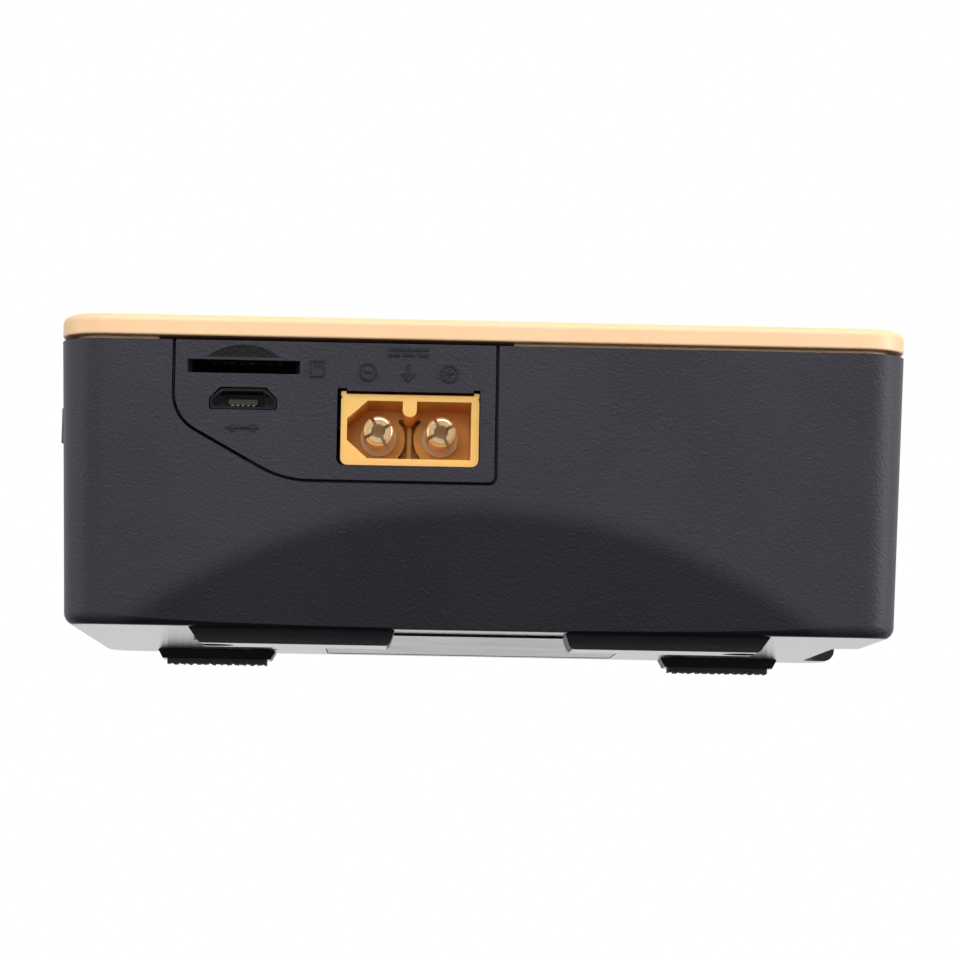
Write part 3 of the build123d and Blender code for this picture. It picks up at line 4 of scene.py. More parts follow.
import bmesh
import bpy
import numpy as np
from mathutils import Euler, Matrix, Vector


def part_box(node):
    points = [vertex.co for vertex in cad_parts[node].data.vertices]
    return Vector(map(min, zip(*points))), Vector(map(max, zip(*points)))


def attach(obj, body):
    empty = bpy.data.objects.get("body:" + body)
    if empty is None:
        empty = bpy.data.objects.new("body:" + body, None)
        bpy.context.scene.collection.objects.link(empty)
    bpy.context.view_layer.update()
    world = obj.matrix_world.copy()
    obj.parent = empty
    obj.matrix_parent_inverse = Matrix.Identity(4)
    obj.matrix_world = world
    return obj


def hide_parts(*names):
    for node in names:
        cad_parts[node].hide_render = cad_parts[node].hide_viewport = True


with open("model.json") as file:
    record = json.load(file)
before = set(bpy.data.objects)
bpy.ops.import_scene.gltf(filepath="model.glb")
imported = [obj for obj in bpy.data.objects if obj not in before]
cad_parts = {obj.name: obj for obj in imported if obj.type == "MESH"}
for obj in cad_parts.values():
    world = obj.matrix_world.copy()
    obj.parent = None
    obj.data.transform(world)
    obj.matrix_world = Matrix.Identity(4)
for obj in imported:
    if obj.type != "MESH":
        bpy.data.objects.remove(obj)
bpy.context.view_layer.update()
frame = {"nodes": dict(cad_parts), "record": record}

print("frame loaded:", len(frame["nodes"]), "nodes")

# camera: looks at the input side from a little below the table, nearly face on
cameraSetup = {
    "place": (-0.01089, -0.43823, -0.02008),
    "turn": (95.512, -0.98, -1.581),
    "lens": 133.63,
}


def makeCamera(setup):
    lensData = bpy.data.cameras.new("inputSideCamera")
    lensData.lens = setup["lens"]
    lensData.sensor_width = 36
    lensData.clip_start = 0.01
    lensData.clip_end = 20
    eye = bpy.data.objects.new("inputSideCamera", lensData)
    eye.location = setup["place"]
    eye.rotation_euler = Euler([math.radians(a) for a in setup["turn"]], "XYZ")
    bpy.context.scene.collection.objects.link(eye)
    bpy.context.scene.camera = eye


makeCamera(cameraSetup)
print("camera ready")

# soft studio: lamps as (name, place, target, width, height, watts, tint)
lampSetup = [
    ("softTop", (0.05, -0.6, 0.58), (0, 0, 0.02), 0.7, 0.5, 4.2, (1, 0.99, 0.97)),
    ("softLeft", (-0.75, -0.30, 0.25), (-0.04, 0, 0.02), 0.35, 0.7, 1.5, (1, 1, 1)),
    ("softRight", (0.75, -0.22, 0.22), (0.04, 0, 0.02), 0.35, 0.7, 3.8, (0.98, 0.99, 1)),
    ("softFront", (-0.08, -0.95, 0.12), (0, 0, 0.02), 0.3, 0.25, 2.2, (1, 0.99, 0.98)),
    ("softBack", (0.0, 0.8, 0.4), (0, 0, 0.02), 0.8, 0.5, 2.0, (1, 1, 1)),
]


def makeLamps(setup):
    for name, place, target, width, height, watts, tint in setup:
        lamp = bpy.data.lights.new(name, "AREA")
        lamp.shape = "RECTANGLE"
        lamp.size = width
        lamp.size_y = height
        lamp.energy = watts
        lamp.color = tint
        holder = bpy.data.objects.new(name, lamp)
        holder.location = place
        holder.visible_glossy = name != "softFront"     # it lights the ports without a glare on the pins
        aim = Vector(target) - Vector(place)
        holder.rotation_euler = aim.to_track_quat("-Z", "Y").to_euler()
        bpy.context.scene.collection.objects.link(holder)


def addNode(tree, kind, **values):
    made = tree.nodes.new(kind)
    for key, value in values.items():
        if hasattr(made, key):
            setattr(made, key, value)
        else:
            made.inputs[key].default_value = value
    return made


# a socket is linked, and a number or a colour is set
def feed(tree, socket, value):
    if isinstance(value, bpy.types.NodeSocket):
        tree.links.new(value, socket)
    else:
        socket.default_value = value


def splitNode(tree, vector):
    made = addNode(tree, "ShaderNodeSeparateXYZ")
    tree.links.new(vector, made.inputs[0])
    return made.outputs["X"], made.outputs["Y"], made.outputs["Z"]


def mathNode(tree, operation, *values):
    made = addNode(tree, "ShaderNodeMath", operation=operation)
    for index, value in enumerate(values):
        feed(tree, made.inputs[index], value)
    return made.outputs[0]


def vectorNode(tree, operation, vector, other=None):
    made = addNode(tree, "ShaderNodeVectorMath", operation=operation)
    tree.links.new(vector, made.inputs[0])
    if other is not None:
        made.inputs[1].default_value = other
    return made


# carries a value from one span to another, evenly or in a smooth step
def spanNode(tree, value, span, low, high, kind="SMOOTHSTEP"):
    made = addNode(tree, "ShaderNodeMapRange", interpolation_type=kind)
    made.inputs["From Min"].default_value = span[0]
    made.inputs["From Max"].default_value = span[1]
    made.inputs["To Min"].default_value = low
    made.inputs["To Max"].default_value = high
    tree.links.new(value, made.inputs["Value"])
    return made.outputs["Result"]


# a mix of two numbers: sockets 0, 2 and 3 are its factor and its two values
def mixNode(tree, factor, first, second):
    made = addNode(tree, "ShaderNodeMix", data_type="FLOAT")
    feed(tree, made.inputs[0], factor)
    feed(tree, made.inputs[2], first)
    feed(tree, made.inputs[3], second)
    return made.outputs[0]


def toneNode(tree, factor, first, second, blend="MIX"):
    made = addNode(tree, "ShaderNodeMix", data_type="RGBA", blend_type=blend)
    feed(tree, made.inputs["Factor"], factor)
    feed(tree, made.inputs["A"], first)
    feed(tree, made.inputs["B"], second)
    return made.outputs["Result"]


# white all round for camera and glass rays; gloss is dimmer behind the camera, where the direction's
# Y is low, and dark well below; the soft fill for matt surfaces is fainter from below
worldSetup = {"backdrop": 1.0, "behindCamera": 0.27, "turn": (-0.8, 0.3), "below": 0.04,
              "belowFade": (-0.75, -0.15), "fill": 0.42, "fillBelow": 0.06, "fillFade": (-0.5, 0.2)}


def makeWorld(setup):
    world = bpy.data.worlds.new("studioAir")
    bpy.context.scene.world = world
    world.use_nodes = True
    tree = world.node_tree
    tree.nodes.clear()
    direction = addNode(tree, "ShaderNodeTexCoord")
    x, y, z = splitNode(tree, direction.outputs["Generated"])
    level = spanNode(tree, y, setup["turn"], setup["behindCamera"], setup["backdrop"])
    under = spanNode(tree, z, setup["belowFade"], setup["below"], 1)
    gloss = mathNode(tree, "MULTIPLY", level, under)
    fill = spanNode(tree, z, setup["fillFade"], setup["fillBelow"], setup["fill"])
    ray = addNode(tree, "ShaderNodeLightPath")
    seen = mathNode(tree, "MAXIMUM", ray.outputs["Is Camera Ray"], ray.outputs["Is Transmission Ray"])
    light = mixNode(tree, ray.outputs["Is Glossy Ray"], fill, gloss)
    strength = mixNode(tree, seen, light, setup["backdrop"])
    air = addNode(tree, "ShaderNodeBackground", Color=(1, 1, 1, 1))
    tree.links.new(strength, air.inputs["Strength"])
    out = addNode(tree, "ShaderNodeOutputWorld")
    tree.links.new(air.outputs[0], out.inputs[0])


# floor: shows only to the camera from above, so the low view looks past it
floorSetup = {"half": 3.0, "sunk": 0.0002, "colour": (0.86, 0.86, 0.87, 1), "rough": 0.8}


def makeFloor(setup):
    half = setup["half"]
    mesh = bpy.data.meshes.new("paleFloor")
    corners = [(-half, -half, 0), (half, -half, 0), (half, half, 0), (-half, half, 0)]
    mesh.from_pydata(corners, [], [(0, 1, 2, 3)])
    floor = bpy.data.objects.new("paleFloor", mesh)
    floor.location = (0, 0, -setup["sunk"])
    bpy.context.scene.collection.objects.link(floor)
    paint = bpy.data.materials.new("paleFloor")
    paint.use_nodes = True
    tree = paint.node_tree
    shader = tree.nodes["Principled BSDF"]
    shader.inputs["Base Color"].default_value = setup["colour"]
    shader.inputs["Roughness"].default_value = setup["rough"]
    clear = addNode(tree, "ShaderNodeBsdfTransparent")
    ray = addNode(tree, "ShaderNodeLightPath")
    side = addNode(tree, "ShaderNodeNewGeometry")
    front = mathNode(tree, "SUBTRACT", 1, side.outputs["Backfacing"])
    shown = mathNode(tree, "MULTIPLY", ray.outputs["Is Camera Ray"], front)
    blend = addNode(tree, "ShaderNodeMixShader")
    tree.links.new(shown, blend.inputs[0])
    tree.links.new(clear.outputs[0], blend.inputs[1])
    tree.links.new(shader.outputs[0], blend.inputs[2])
    tree.links.new(blend.outputs[0], tree.nodes["Material Output"].inputs["Surface"])
    mesh.materials.append(paint)


makeLamps(lampSetup)
makeWorld(worldSetup)
makeFloor(floorSetup)
print("studio ready")


# distance from a line along Y through a centre: the Y of the offset is dropped before its length
def reachNode(tree, coords, centre):
    apart = vectorNode(tree, "SUBTRACT", coords, centre)
    flat = vectorNode(tree, "MULTIPLY", apart.outputs[0], (1, 0, 1))
    return vectorNode(tree, "LENGTH", flat.outputs[0]).outputs["Value"]


# painted shade of the dished wall: its arc, its soft edge and the share of colour kept inside
paintedDishShade = {"centre": (-0.0009, 0, -0.0498), "radius": 0.0668, "soft": 0.003, "keep": 0.4}


# inside a wide arc, where the case wall is dished, the colour is multiplied down: painted shade, for the
# light the face loses as it tilts downward
def dishPaintedShade(tree, coords, colour):
    reach = reachNode(tree, coords, paintedDishShade["centre"])
    inside = spanNode(tree, reach, (paintedDishShade["radius"] - paintedDishShade["soft"], paintedDishShade["radius"]), 1, 0)
    return toneNode(tree, inside, colour, (paintedDishShade["keep"], paintedDishShade["keep"], paintedDishShade["keep"], 1), "MULTIPLY")


# the port panel's field and its painted shade; the wall's plane leans in below its top edge by the draft
portField = {"left": -0.0356, "right": 0.0014, "low": 0.021, "deep": 0.004,
             "wall": 0.034, "wallTop": 0.0344, "lean": 0.03143,
             "recess": 0.00012, "raised": 0.00006, "symbolShade": 0.6, "dark": (0.004, 0.004, 0.005),
             "scallop": (-0.0276, 0, 0.0271), "scallopRadius": 0.00685, "scallopLow": 0.0325}


# painted shade: darkens what lies behind the wall's plane, in its recesses, and paints the finger scallop's
# shade over the card slot; what stands proud of the plane is darkened less: depth = y + wall - (wallTop -
# z) * lean
def portPaintedShadeAndSymbols(tree, coords, colour):
    field = portField
    x, y, z = splitNode(tree, coords)
    offset = field["wall"] - field["wallTop"] * field["lean"]
    depth = mathNode(tree, "ADD", mathNode(tree, "MULTIPLY_ADD", z, field["lean"], offset), y)
    inField = mathNode(tree, "LESS_THAN", depth, field["deep"])
    edges = ((z, "GREATER_THAN", "low"), (x, "GREATER_THAN", "left"), (x, "LESS_THAN", "right"))
    for place, test, edge in edges:
        inField = mathNode(tree, "MULTIPLY", inField, mathNode(tree, test, place, field[edge]))
    recess = mathNode(tree, "GREATER_THAN", depth, field["recess"])
    raised = mathNode(tree, "LESS_THAN", depth, -field["raised"])
    symbol = mathNode(tree, "MULTIPLY", raised, field["symbolShade"])
    # the scallop's painted shade is a circle's cap above the slot, a tone on the flat face
    reach = reachNode(tree, coords, field["scallop"])
    circle = mathNode(tree, "LESS_THAN", reach, field["scallopRadius"])
    scallopShade = mathNode(tree, "MULTIPLY", circle, mathNode(tree, "GREATER_THAN", z, field["scallopLow"]))
    level = mathNode(tree, "MAXIMUM", mathNode(tree, "MAXIMUM", recess, scallopShade), symbol)
    # full dark is painted shade in the recesses and the scallop; the raised symbols take part of it
    shade = mathNode(tree, "MULTIPLY", inField, level)
    return toneNode(tree, shade, colour, (*field["dark"], 1))


windowPrint = {"tone": (0.006, 0.006, 0.007), "lap": 0.0015}


# black print on the window, all but a rectangle a little smaller than the display
def windowTone(tree, coords, colour):
    low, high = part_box("lcd_module")
    middle = [(a + b) / 2 for a, b in zip(low, high)]
    half = [(b - a) / 2 - windowPrint["lap"] for a, b in zip(low, high)]
    offset = vectorNode(tree, "SUBTRACT", coords, middle)
    x, y, z = splitNode(tree, vectorNode(tree, "ABSOLUTE", offset.outputs[0]).outputs[0])
    acrossX = mathNode(tree, "LESS_THAN", x, half[0])
    acrossY = mathNode(tree, "LESS_THAN", y, half[1])
    pane = mathNode(tree, "MULTIPLY", acrossX, acrossY)
    return toneNode(tree, pane, (*windowPrint["tone"], 1), colour)


bezelLip = {"top": 0.0346, "tone": (0.012, 0.012, 0.013)}


# black where the bezel's lip reaches down into the case
def lipTone(tree, coords, colour):
    x, y, z = splitNode(tree, coords)
    above = mathNode(tree, "GREATER_THAN", z, bezelLip["top"])
    return toneNode(tree, above, (*bezelLip["tone"], 1), colour)


# a finish: two tones mixed by slow noise, then its marks; roughness follows the same noise, and fine
# bump comes from a grain; "under" smooths the faces that look down, where the normal's Z is near -1
def makeFinish(name, look):
    finish = bpy.data.materials.new(name)
    finish.use_nodes = True
    tree = finish.node_tree
    shader = tree.nodes["Principled BSDF"]
    coords = addNode(tree, "ShaderNodeTexCoord").outputs["Object"]
    stretch = addNode(tree, "ShaderNodeMapping")
    stretch.inputs["Scale"].default_value = look.get("stretch", (1, 1, 1))
    tree.links.new(coords, stretch.inputs["Vector"])
    mottle = addNode(tree, "ShaderNodeTexNoise")
    mottle.inputs["Scale"].default_value = 1 / look.get("mottle", 0.012)
    mottle.inputs["Detail"].default_value = 4
    tree.links.new(coords, mottle.inputs["Vector"])
    tones = addNode(tree, "ShaderNodeValToRGB")
    tones.color_ramp.elements[0].position = 0.3
    tones.color_ramp.elements[1].position = 0.7
    tones.color_ramp.elements[0].color = (*look["tone"], 1)
    tones.color_ramp.elements[1].color = (*look["toneTwo"], 1)
    tree.links.new(mottle.outputs["Fac"], tones.inputs["Fac"])
    colour = tones.outputs["Color"]
    for mark in look.get("marks", []):
        colour = mark(tree, coords, colour)
    tree.links.new(colour, shader.inputs["Base Color"])
    swing = look.get("roughSwing", 0.05)
    roughness = spanNode(tree, mottle.outputs["Fac"], (0, 1), look["rough"] - swing, look["rough"] + swing,
                         "LINEAR")
    bumpLevel = look.get("bump", 0.3)
    if "under" in look:
        under = look["under"]
        facing = addNode(tree, "ShaderNodeNewGeometry")
        x, y, z = splitNode(tree, facing.outputs["True Normal"])
        upright = spanNode(tree, z, under["turn"], 0, 1, "LINEAR")
        roughness = mixNode(tree, upright, under["rough"], roughness)
        bumpLevel = spanNode(tree, upright, (0, 1), under["bump"], bumpLevel, "LINEAR")
    tree.links.new(roughness, shader.inputs["Roughness"])
    grain = addNode(tree, "ShaderNodeTexNoise")
    grain.inputs["Scale"].default_value = 1 / look.get("grain", 0.0006)
    grain.inputs["Detail"].default_value = 2
    tree.links.new(stretch.outputs["Vector"], grain.inputs["Vector"])
    height = grain.outputs["Fac"]
    if "pits" in look:
        # leather-like cells laid over the noise
        cells = addNode(tree, "ShaderNodeTexVoronoi", feature="SMOOTH_F1")
        cells.inputs["Scale"].default_value = 1 / look["pits"]
        tree.links.new(stretch.outputs["Vector"], cells.inputs["Vector"])
        height = mathNode(tree, "ADD", height, cells.outputs["Distance"])
    bump = addNode(tree, "ShaderNodeBump")
    bump.inputs["Distance"].default_value = look.get("depth", 0.0001)
    feed(tree, bump.inputs["Strength"], bumpLevel)
    tree.links.new(height, bump.inputs["Height"])
    tree.links.new(bump.outputs["Normal"], shader.inputs["Normal"])
    shader.inputs["Metallic"].default_value = look.get("metal", 0)
    shader.inputs["Specular IOR Level"].default_value = look.get("gloss", 0.5)
    shader.inputs["Specular Tint"].default_value = (*look.get("tint", (1, 1, 1)), 1)
    shader.inputs["Coat Weight"].default_value = look.get("coat", 0)
    shader.inputs["Coat Roughness"].default_value = look.get("coatRough", 0.1)
    shader.inputs["Transmission Weight"].default_value = look.get("clear", 0)
    shader.inputs["Subsurface Weight"].default_value = look.get("soft", 0)
    shader.inputs["Subsurface Scale"].default_value = look.get("softDepth", 0.0005)
    return finish


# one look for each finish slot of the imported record
looks = {
    "case_plastic": {"tone": (0.029, 0.028, 0.037), "toneTwo": (0.035, 0.034, 0.043), "rough": 0.46,
                     "gloss": 0.32, "tint": (0.97, 0.94, 1), "mottle": 0.02, "grain": 0.00022,
                     "pits": 0.00034, "bump": 0.55, "depth": 0.00008,
                     "under": {"rough": 0.16, "bump": 0.03, "turn": (-0.97, -0.9)},
                     "marks": [dishPaintedShade, portPaintedShadeAndSymbols]},
    "bezel_plastic": {"tone": (0.92, 0.60, 0.35), "toneTwo": (0.95, 0.63, 0.38), "rough": 0.38,
                      "bump": 0.06, "depth": 0.00005, "soft": 0.15, "softDepth": 0.001,
                      "marks": [lipTone]},
    "window_glass": {"tone": (0.42, 0.43, 0.45), "toneTwo": (0.46, 0.47, 0.49), "rough": 0.07,
                     "roughSwing": 0.03, "bump": 0.02, "clear": 0.85, "coat": 0.5, "coatRough": 0.03,
                     "marks": [windowTone]},
    "screen": {"tone": (0.045, 0.055, 0.07), "toneTwo": (0.055, 0.067, 0.085), "rough": 0.3},
    "dark_nickel": {"tone": (0.06, 0.06, 0.065), "toneTwo": (0.1, 0.1, 0.105), "rough": 0.16, "metal": 1,
                    "bump": 0.08, "depth": 0.00004},
    "bright_steel": {"tone": (0.62, 0.62, 0.63), "toneTwo": (0.7, 0.7, 0.7), "rough": 0.28, "metal": 1,
                     "stretch": (1, 12, 1), "bump": 0.15},
    "screw_steel": {"tone": (0.07, 0.07, 0.075), "toneTwo": (0.1, 0.1, 0.105), "rough": 0.35, "metal": 1},
    "gold_contact": {"tone": (0.95, 0.66, 0.36), "toneTwo": (0.98, 0.72, 0.42), "rough": 0.13, "metal": 0.6,
                     "roughSwing": 0.04, "bump": 0.06},
    "tinned_pin": {"tone": (0.72, 0.72, 0.73), "toneTwo": (0.78, 0.78, 0.78), "rough": 0.2, "metal": 1},
    "amber_nylon": {"tone": (0.96, 0.50, 0.14), "toneTwo": (0.98, 0.54, 0.17), "rough": 0.45,
                    "grain": 0.0003, "bump": 0.12, "soft": 0.35, "softDepth": 0.003},
    "white_nylon": {"tone": (0.8, 0.78, 0.7), "toneTwo": (0.84, 0.82, 0.75), "rough": 0.45, "soft": 0.2},
    "board_laminate": {"tone": (0.01, 0.03, 0.018), "toneTwo": (0.02, 0.05, 0.03), "rough": 0.35,
                       "mottle": 0.002},
    "black_moulding": {"tone": (0.018, 0.018, 0.02), "toneTwo": (0.026, 0.026, 0.028), "rough": 0.5},
    "chip_epoxy": {"tone": (0.02, 0.02, 0.021), "toneTwo": (0.03, 0.03, 0.03), "rough": 0.6},
    "wheel_plastic": {"tone": (0.03, 0.03, 0.033), "toneTwo": (0.04, 0.04, 0.043), "rough": 0.45},
    "button_plastic": {"tone": (0.92, 0.60, 0.35), "toneTwo": (0.95, 0.63, 0.38), "rough": 0.35},
    "foot_rubber": {"tone": (0.08, 0.08, 0.086), "toneTwo": (0.1, 0.1, 0.107), "rough": 0.8,
                    "grain": 0.0003, "bump": 0.5, "mottle": 0.002},
    "label_film": {"tone": (0.05, 0.05, 0.09), "toneTwo": (0.06, 0.06, 0.1), "rough": 0.2, "bump": 0.05,
                   "depth": 0.00003, "gloss": 0.1},
    "spacer_brass": {"tone": (0.75, 0.52, 0.2), "toneTwo": (0.8, 0.58, 0.26), "rough": 0.3, "metal": 1},
    "sink_aluminium": {"tone": (0.6, 0.6, 0.62), "toneTwo": (0.68, 0.68, 0.7), "rough": 0.38, "metal": 1,
                       "stretch": (1, 20, 20), "bump": 0.25},
    "pad_silicone": {"tone": (0.3, 0.36, 0.45), "toneTwo": (0.34, 0.4, 0.5), "rough": 0.7},
    "core_iron": {"tone": (0.3, 0.25, 0.08), "toneTwo": (0.36, 0.3, 0.1), "rough": 0.6},
    "copper_wire": {"tone": (0.65, 0.26, 0.1), "toneTwo": (0.75, 0.33, 0.14), "rough": 0.25, "metal": 1},
    "capacitor_sleeve": {"tone": (0.03, 0.035, 0.07), "toneTwo": (0.04, 0.045, 0.09), "rough": 0.3},
    "flex_film": {"tone": (0.5, 0.25, 0.04), "toneTwo": (0.56, 0.3, 0.06), "rough": 0.3, "mottle": 0.001},
}
finishes = {slot: makeFinish(slot, look) for slot, look in looks.items()}


def dressNodes():
    for part in frame["record"]["subparts"]:
        node = frame["nodes"][part["node"]]
        node.data.materials.clear()
        node.data.materials.append(finishes[part["material_slot"]])


dressNodes()
print("finishes:", len(finishes))


# closed skins over grids of points: rows run along each shell, columns go round it, ends are flat
def skinShells(name, shells):
    points, faces, start = [], [], 0
    for rows in shells:
        count, around = rows.shape[:2]
        index = start + np.arange(count * around).reshape(count, around)
        turned = np.roll(index, -1, axis=1)
        quads = np.stack([index[:-1], turned[:-1], turned[1:], index[1:]], axis=-1)
        faces += quads.reshape(-1, 4).tolist() + [index[0][::-1].tolist(), index[-1].tolist()]
        points.append(rows.reshape(-1, 3))
        start += count * around
    mesh = bpy.data.meshes.new(name)
    mesh.from_pydata(np.concatenate(points).tolist(), [], faces)
    shape = bmesh.new()
    shape.from_mesh(mesh)
    bmesh.ops.recalc_face_normals(shape, faces=shape.faces)
    shape.to_mesh(mesh)
    shape.free()
    mesh.shade_smooth()
    mesh.set_sharp_from_angle(angle=math.radians(40))
    piece = bpy.data.objects.new(name, mesh)
    bpy.context.scene.collection.objects.link(piece)
    return piece


# puts a finished piece in a CAD node's place: the piece takes the node's body and the finish of the node's
# slot, and the node is hidden
def standIn(piece, node):
    part = next(p for p in frame["record"]["subparts"] if p["node"] == node)
    body = next(name for name, nodes in frame["record"]["behaviour"]["bodies"].items() if node in nodes)
    piece.data.materials.append(finishes[part["material_slot"]])
    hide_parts(node)
    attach(piece, body)


# shell of revolution: radius and place along the axis as arrays, turned about a line through centre
def turnedShell(radius, along, centre, axis, around=64):
    side = {"Y": (0, 2, 1), "Z": (0, 1, 2)}[axis]
    angle = np.linspace(0, 2 * math.pi, around, endpoint=False)
    rows = np.empty((len(radius), around, 3))
    rows[..., side[0]] = centre[side[0]] + radius[:, None] * np.cos(angle)
    rows[..., side[1]] = centre[side[1]] + radius[:, None] * np.sin(angle)
    rows[..., side[2]] = along[:, None]
    return rows


# tube along a path: two unit vectors square to the path's direction carry a ring at each point
def tubeShell(path, radius, around=10):
    ahead = np.gradient(path, axis=0)
    ahead /= np.linalg.norm(ahead, axis=1)[:, None]
    helper = np.where(np.abs(ahead[:, 2:]) > 0.9, [[1.0, 0, 0]], [[0, 0, 1.0]])
    across = np.cross(ahead, helper)
    across /= np.linalg.norm(across, axis=1)[:, None]
    up = np.cross(across, ahead)
    angle = np.linspace(0, 2 * math.pi, around, endpoint=False)[None, :, None]
    return path[:, None] + radius * (np.cos(angle) * across[:, None] + np.sin(angle) * up[:, None])


canSetup = {"count": 3, "edge": 0.0005, "groove": 0.0004, "grooveAt": 0.0022, "grooveWidth": 0.0006,
            "steps": 90}


# radius along a can: a rounded end each side and one crimp groove, a bell curve pressed in
def makeCans(setup):
    low, high = (np.array(corner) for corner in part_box("capacitors"))
    reach = (high[2] - low[2]) / 2
    along = np.linspace(low[1], high[1], setup["steps"])
    fromEnd = np.minimum(along - low[1], high[1] - along)
    cut = np.clip(1 - fromEnd / setup["edge"], 0, 1)
    radius = reach - setup["edge"] * (1 - np.sqrt(1 - cut ** 2))
    bell = np.exp(-((along - low[1] - setup["grooveAt"]) / setup["grooveWidth"]) ** 2)
    radius = radius - setup["groove"] * bell
    middles = np.linspace(low[0] + reach, high[0] - reach, setup["count"])
    shells = [turnedShell(radius, along, (x, 0, low[2] + reach), "Y") for x in middles]
    standIn(skinShells("capacitor_cans", shells), "capacitors")


coilSetup = {"turns": 12, "wire": 0.00034, "bore": 0.0044, "span": 300, "start": 30, "steps": 900,
             "square": 0.34}


# wire round a ring core: the path goes round the ring's section, a squared-off loop, as it advances
def makeCoils(setup):
    low, high = (np.array(corner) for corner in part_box("inductor_windings"))
    coreLow, coreHigh = (np.array(corner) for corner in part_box("inductor_cores"))
    outer = (high[1] - low[1]) / 2 - setup["wire"]
    tall = (high[2] - low[2]) / 2 - setup["wire"]
    reach = (coreHigh[1] - coreLow[1]) / 2
    inner = outer - 2 * (reach - setup["bore"] + setup["wire"]) - 2 * setup["wire"]
    middle, wide = (outer + inner) / 2, (outer - inner) / 2
    step = np.linspace(0, 1, setup["steps"])
    loop = 2 * math.pi * setup["turns"] * step
    turn = np.radians(setup["start"] + setup["span"] * step)
    outward = middle + wide * np.sign(np.cos(loop)) * np.abs(np.cos(loop)) ** setup["square"]
    height = (low[2] + high[2]) / 2 + tall * np.sign(np.sin(loop)) * np.abs(np.sin(loop)) ** setup["square"]
    y = (low[1] + high[1]) / 2
    shells = []
    for x in (coreLow[0] + reach, coreHigh[0] - reach):
        path = np.stack([x + outward * np.cos(turn), y + outward * np.sin(turn), height], 1)
        shells.append(tubeShell(path, setup["wire"]))
    standIn(skinShells("inductor_coils", shells), "inductor_windings")


rotorSetup = {"blades": 7, "hub": 0.01, "wall": 0.0012, "edge": 0.0005, "bore": 0.0011, "boss": 0.0024,
              "bossRise": 0.0004, "sunk": 0.0004, "tipGap": 0.0001, "faceGap": 0.0003,
              "rootPitch": 52, "tipPitch": 33, "sweep": 16, "rootChord": 0.0062, "tipChord": 0.0088,
              "thick": 0.0009, "camber": 0.0006, "tipFrom": 0.86, "tipOver": 0.16, "tipLeast": 0.05}


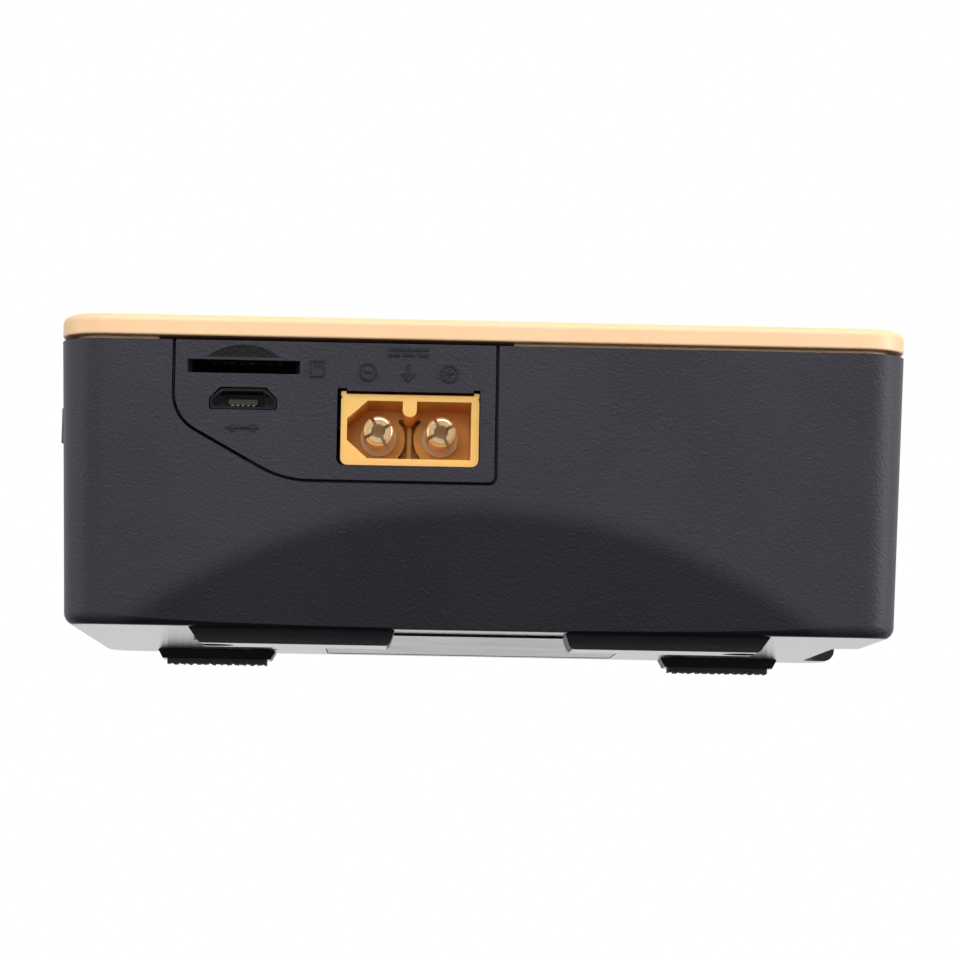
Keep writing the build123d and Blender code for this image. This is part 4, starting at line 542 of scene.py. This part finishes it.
# fan rotor: a turned cup with rounded brim, and blades whose pitch, chord and sweep change outwards
def makeRotor(setup):
    low, high = (np.array(corner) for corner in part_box("fan_rotor"))
    centre = (low + high) / 2
    tip = (high[0] - low[0]) / 2 - setup["tipGap"]
    hub, wall, edge, bore = setup["hub"], setup["wall"], setup["edge"], setup["bore"]
    corner = np.linspace(0, math.pi / 2, 8)
    outerR = np.concatenate([[bore], hub - edge + edge * np.sin(corner), [hub, hub - wall]])
    outerZ = np.concatenate([[low[2]], low[2] + edge - edge * np.cos(corner), [high[2], high[2]]])
    innerR = np.array([hub - wall, setup["boss"], bore])
    innerZ = np.array([low[2] + wall, low[2] + wall, low[2] + wall + setup["bossRise"]])
    radius = np.concatenate([outerR, innerR, [bore]])
    along = np.concatenate([outerZ, innerZ, [low[2]]])
    shells = [turnedShell(radius, along, centre, "Z", 96)]
    out = np.linspace(0, 1, 24)[:, None]
    around = np.linspace(0, 2 * math.pi, 28, endpoint=False)[None]
    pitch = np.radians(setup["rootPitch"] + (setup["tipPitch"] - setup["rootPitch"]) * out)
    chord = setup["rootChord"] + (setup["tipChord"] - setup["rootChord"]) * out
    rounding = np.clip((out - setup["tipFrom"]) / setup["tipOver"], 0, 1)
    chord = chord * np.sqrt(np.clip(1 - rounding ** 2, setup["tipLeast"], 1))
    forward = chord / 2 * np.cos(around)
    lift = setup["thick"] / 2 * np.sin(around) + setup["camber"] * (1 - np.cos(around) ** 2) * out
    reach = hub - setup["sunk"] + (tip - hub + setup["sunk"]) * out
    swing = forward * np.cos(pitch) - lift * np.sin(pitch)
    rise = forward * np.sin(pitch) + lift * np.cos(pitch)
    room = (high[2] - low[2]) / 2 - setup["faceGap"]
    rise = np.clip(rise, -room, room)
    for index in range(setup["blades"]):
        turn = 2 * math.pi * index / setup["blades"] + np.radians(setup["sweep"]) * out ** 2 + swing / reach
        rows = np.stack([centre[0] + reach * np.cos(turn), centre[1] + reach * np.sin(turn),
                         centre[2] + rise + 0 * turn], axis=-1)
        shells.append(rows)
    standIn(skinShells("swept_fan_rotor", shells), "fan_rotor")


footSetup = {"length": 0.0129, "ribs": 13, "groove": 0.00012, "round": 0.0005, "steps": 260,
             "square": 0.25, "shrink": 0.12, "ribEdge": 6, "ragged": 0.00006, "waves": (9100, 5300)}


# rubber foot: a rounded section carried along X, its underside rising and falling in ribs; two sine
# waves added together fray the underside a little
def makeFeet(setup):
    low, high = (np.array(corner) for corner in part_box("rubber_feet"))
    half = (high[1] - low[1]) / 2
    length = setup["length"]
    angle = np.linspace(0, 2 * math.pi, 48, endpoint=False)[None]
    squareY = np.sign(np.cos(angle)) * np.abs(np.cos(angle)) ** setup["square"]
    squareZ = np.sign(np.sin(angle)) * np.abs(np.sin(angle)) ** setup["square"]
    shells = []
    for x0 in (low[0], high[0] - length):
        along = np.linspace(0, length, setup["steps"])[:, None]
        fromEnd = np.minimum(along, length - along)
        cut = np.clip(1 - fromEnd / setup["round"], 0, 1)
        grow = 1 - setup["shrink"] * (1 - np.sqrt(1 - cut ** 2))
        rib = 0.5 - 0.5 * np.tanh(setup["ribEdge"] * np.cos(2 * math.pi * setup["ribs"] * along / length))
        fast, slow = setup["waves"]
        wander = setup["ragged"] * (np.sin(along * fast) + np.sin(along * slow + 1))
        bottom = setup["groove"] * rib + np.abs(wander)
        tall = (high[2] - low[2]) / 2
        z = low[2] + tall + tall * squareZ
        z = np.where(squareZ < 0, z + bottom * np.abs(squareZ), z)
        y = low[1] + half + half * grow * squareY
        shells.append(np.stack([x0 + along + 0 * z, y + 0 * z, z + 0 * along], -1))
    standIn(skinShells("ribbed_rubber_feet", shells), "rubber_feet")


makeCans(canSetup)
makeCoils(coilSetup)
makeRotor(rotorSetup)
makeFeet(footSetup)
print("detail pieces made")

bpy.context.scene.view_settings.view_transform = "Standard"
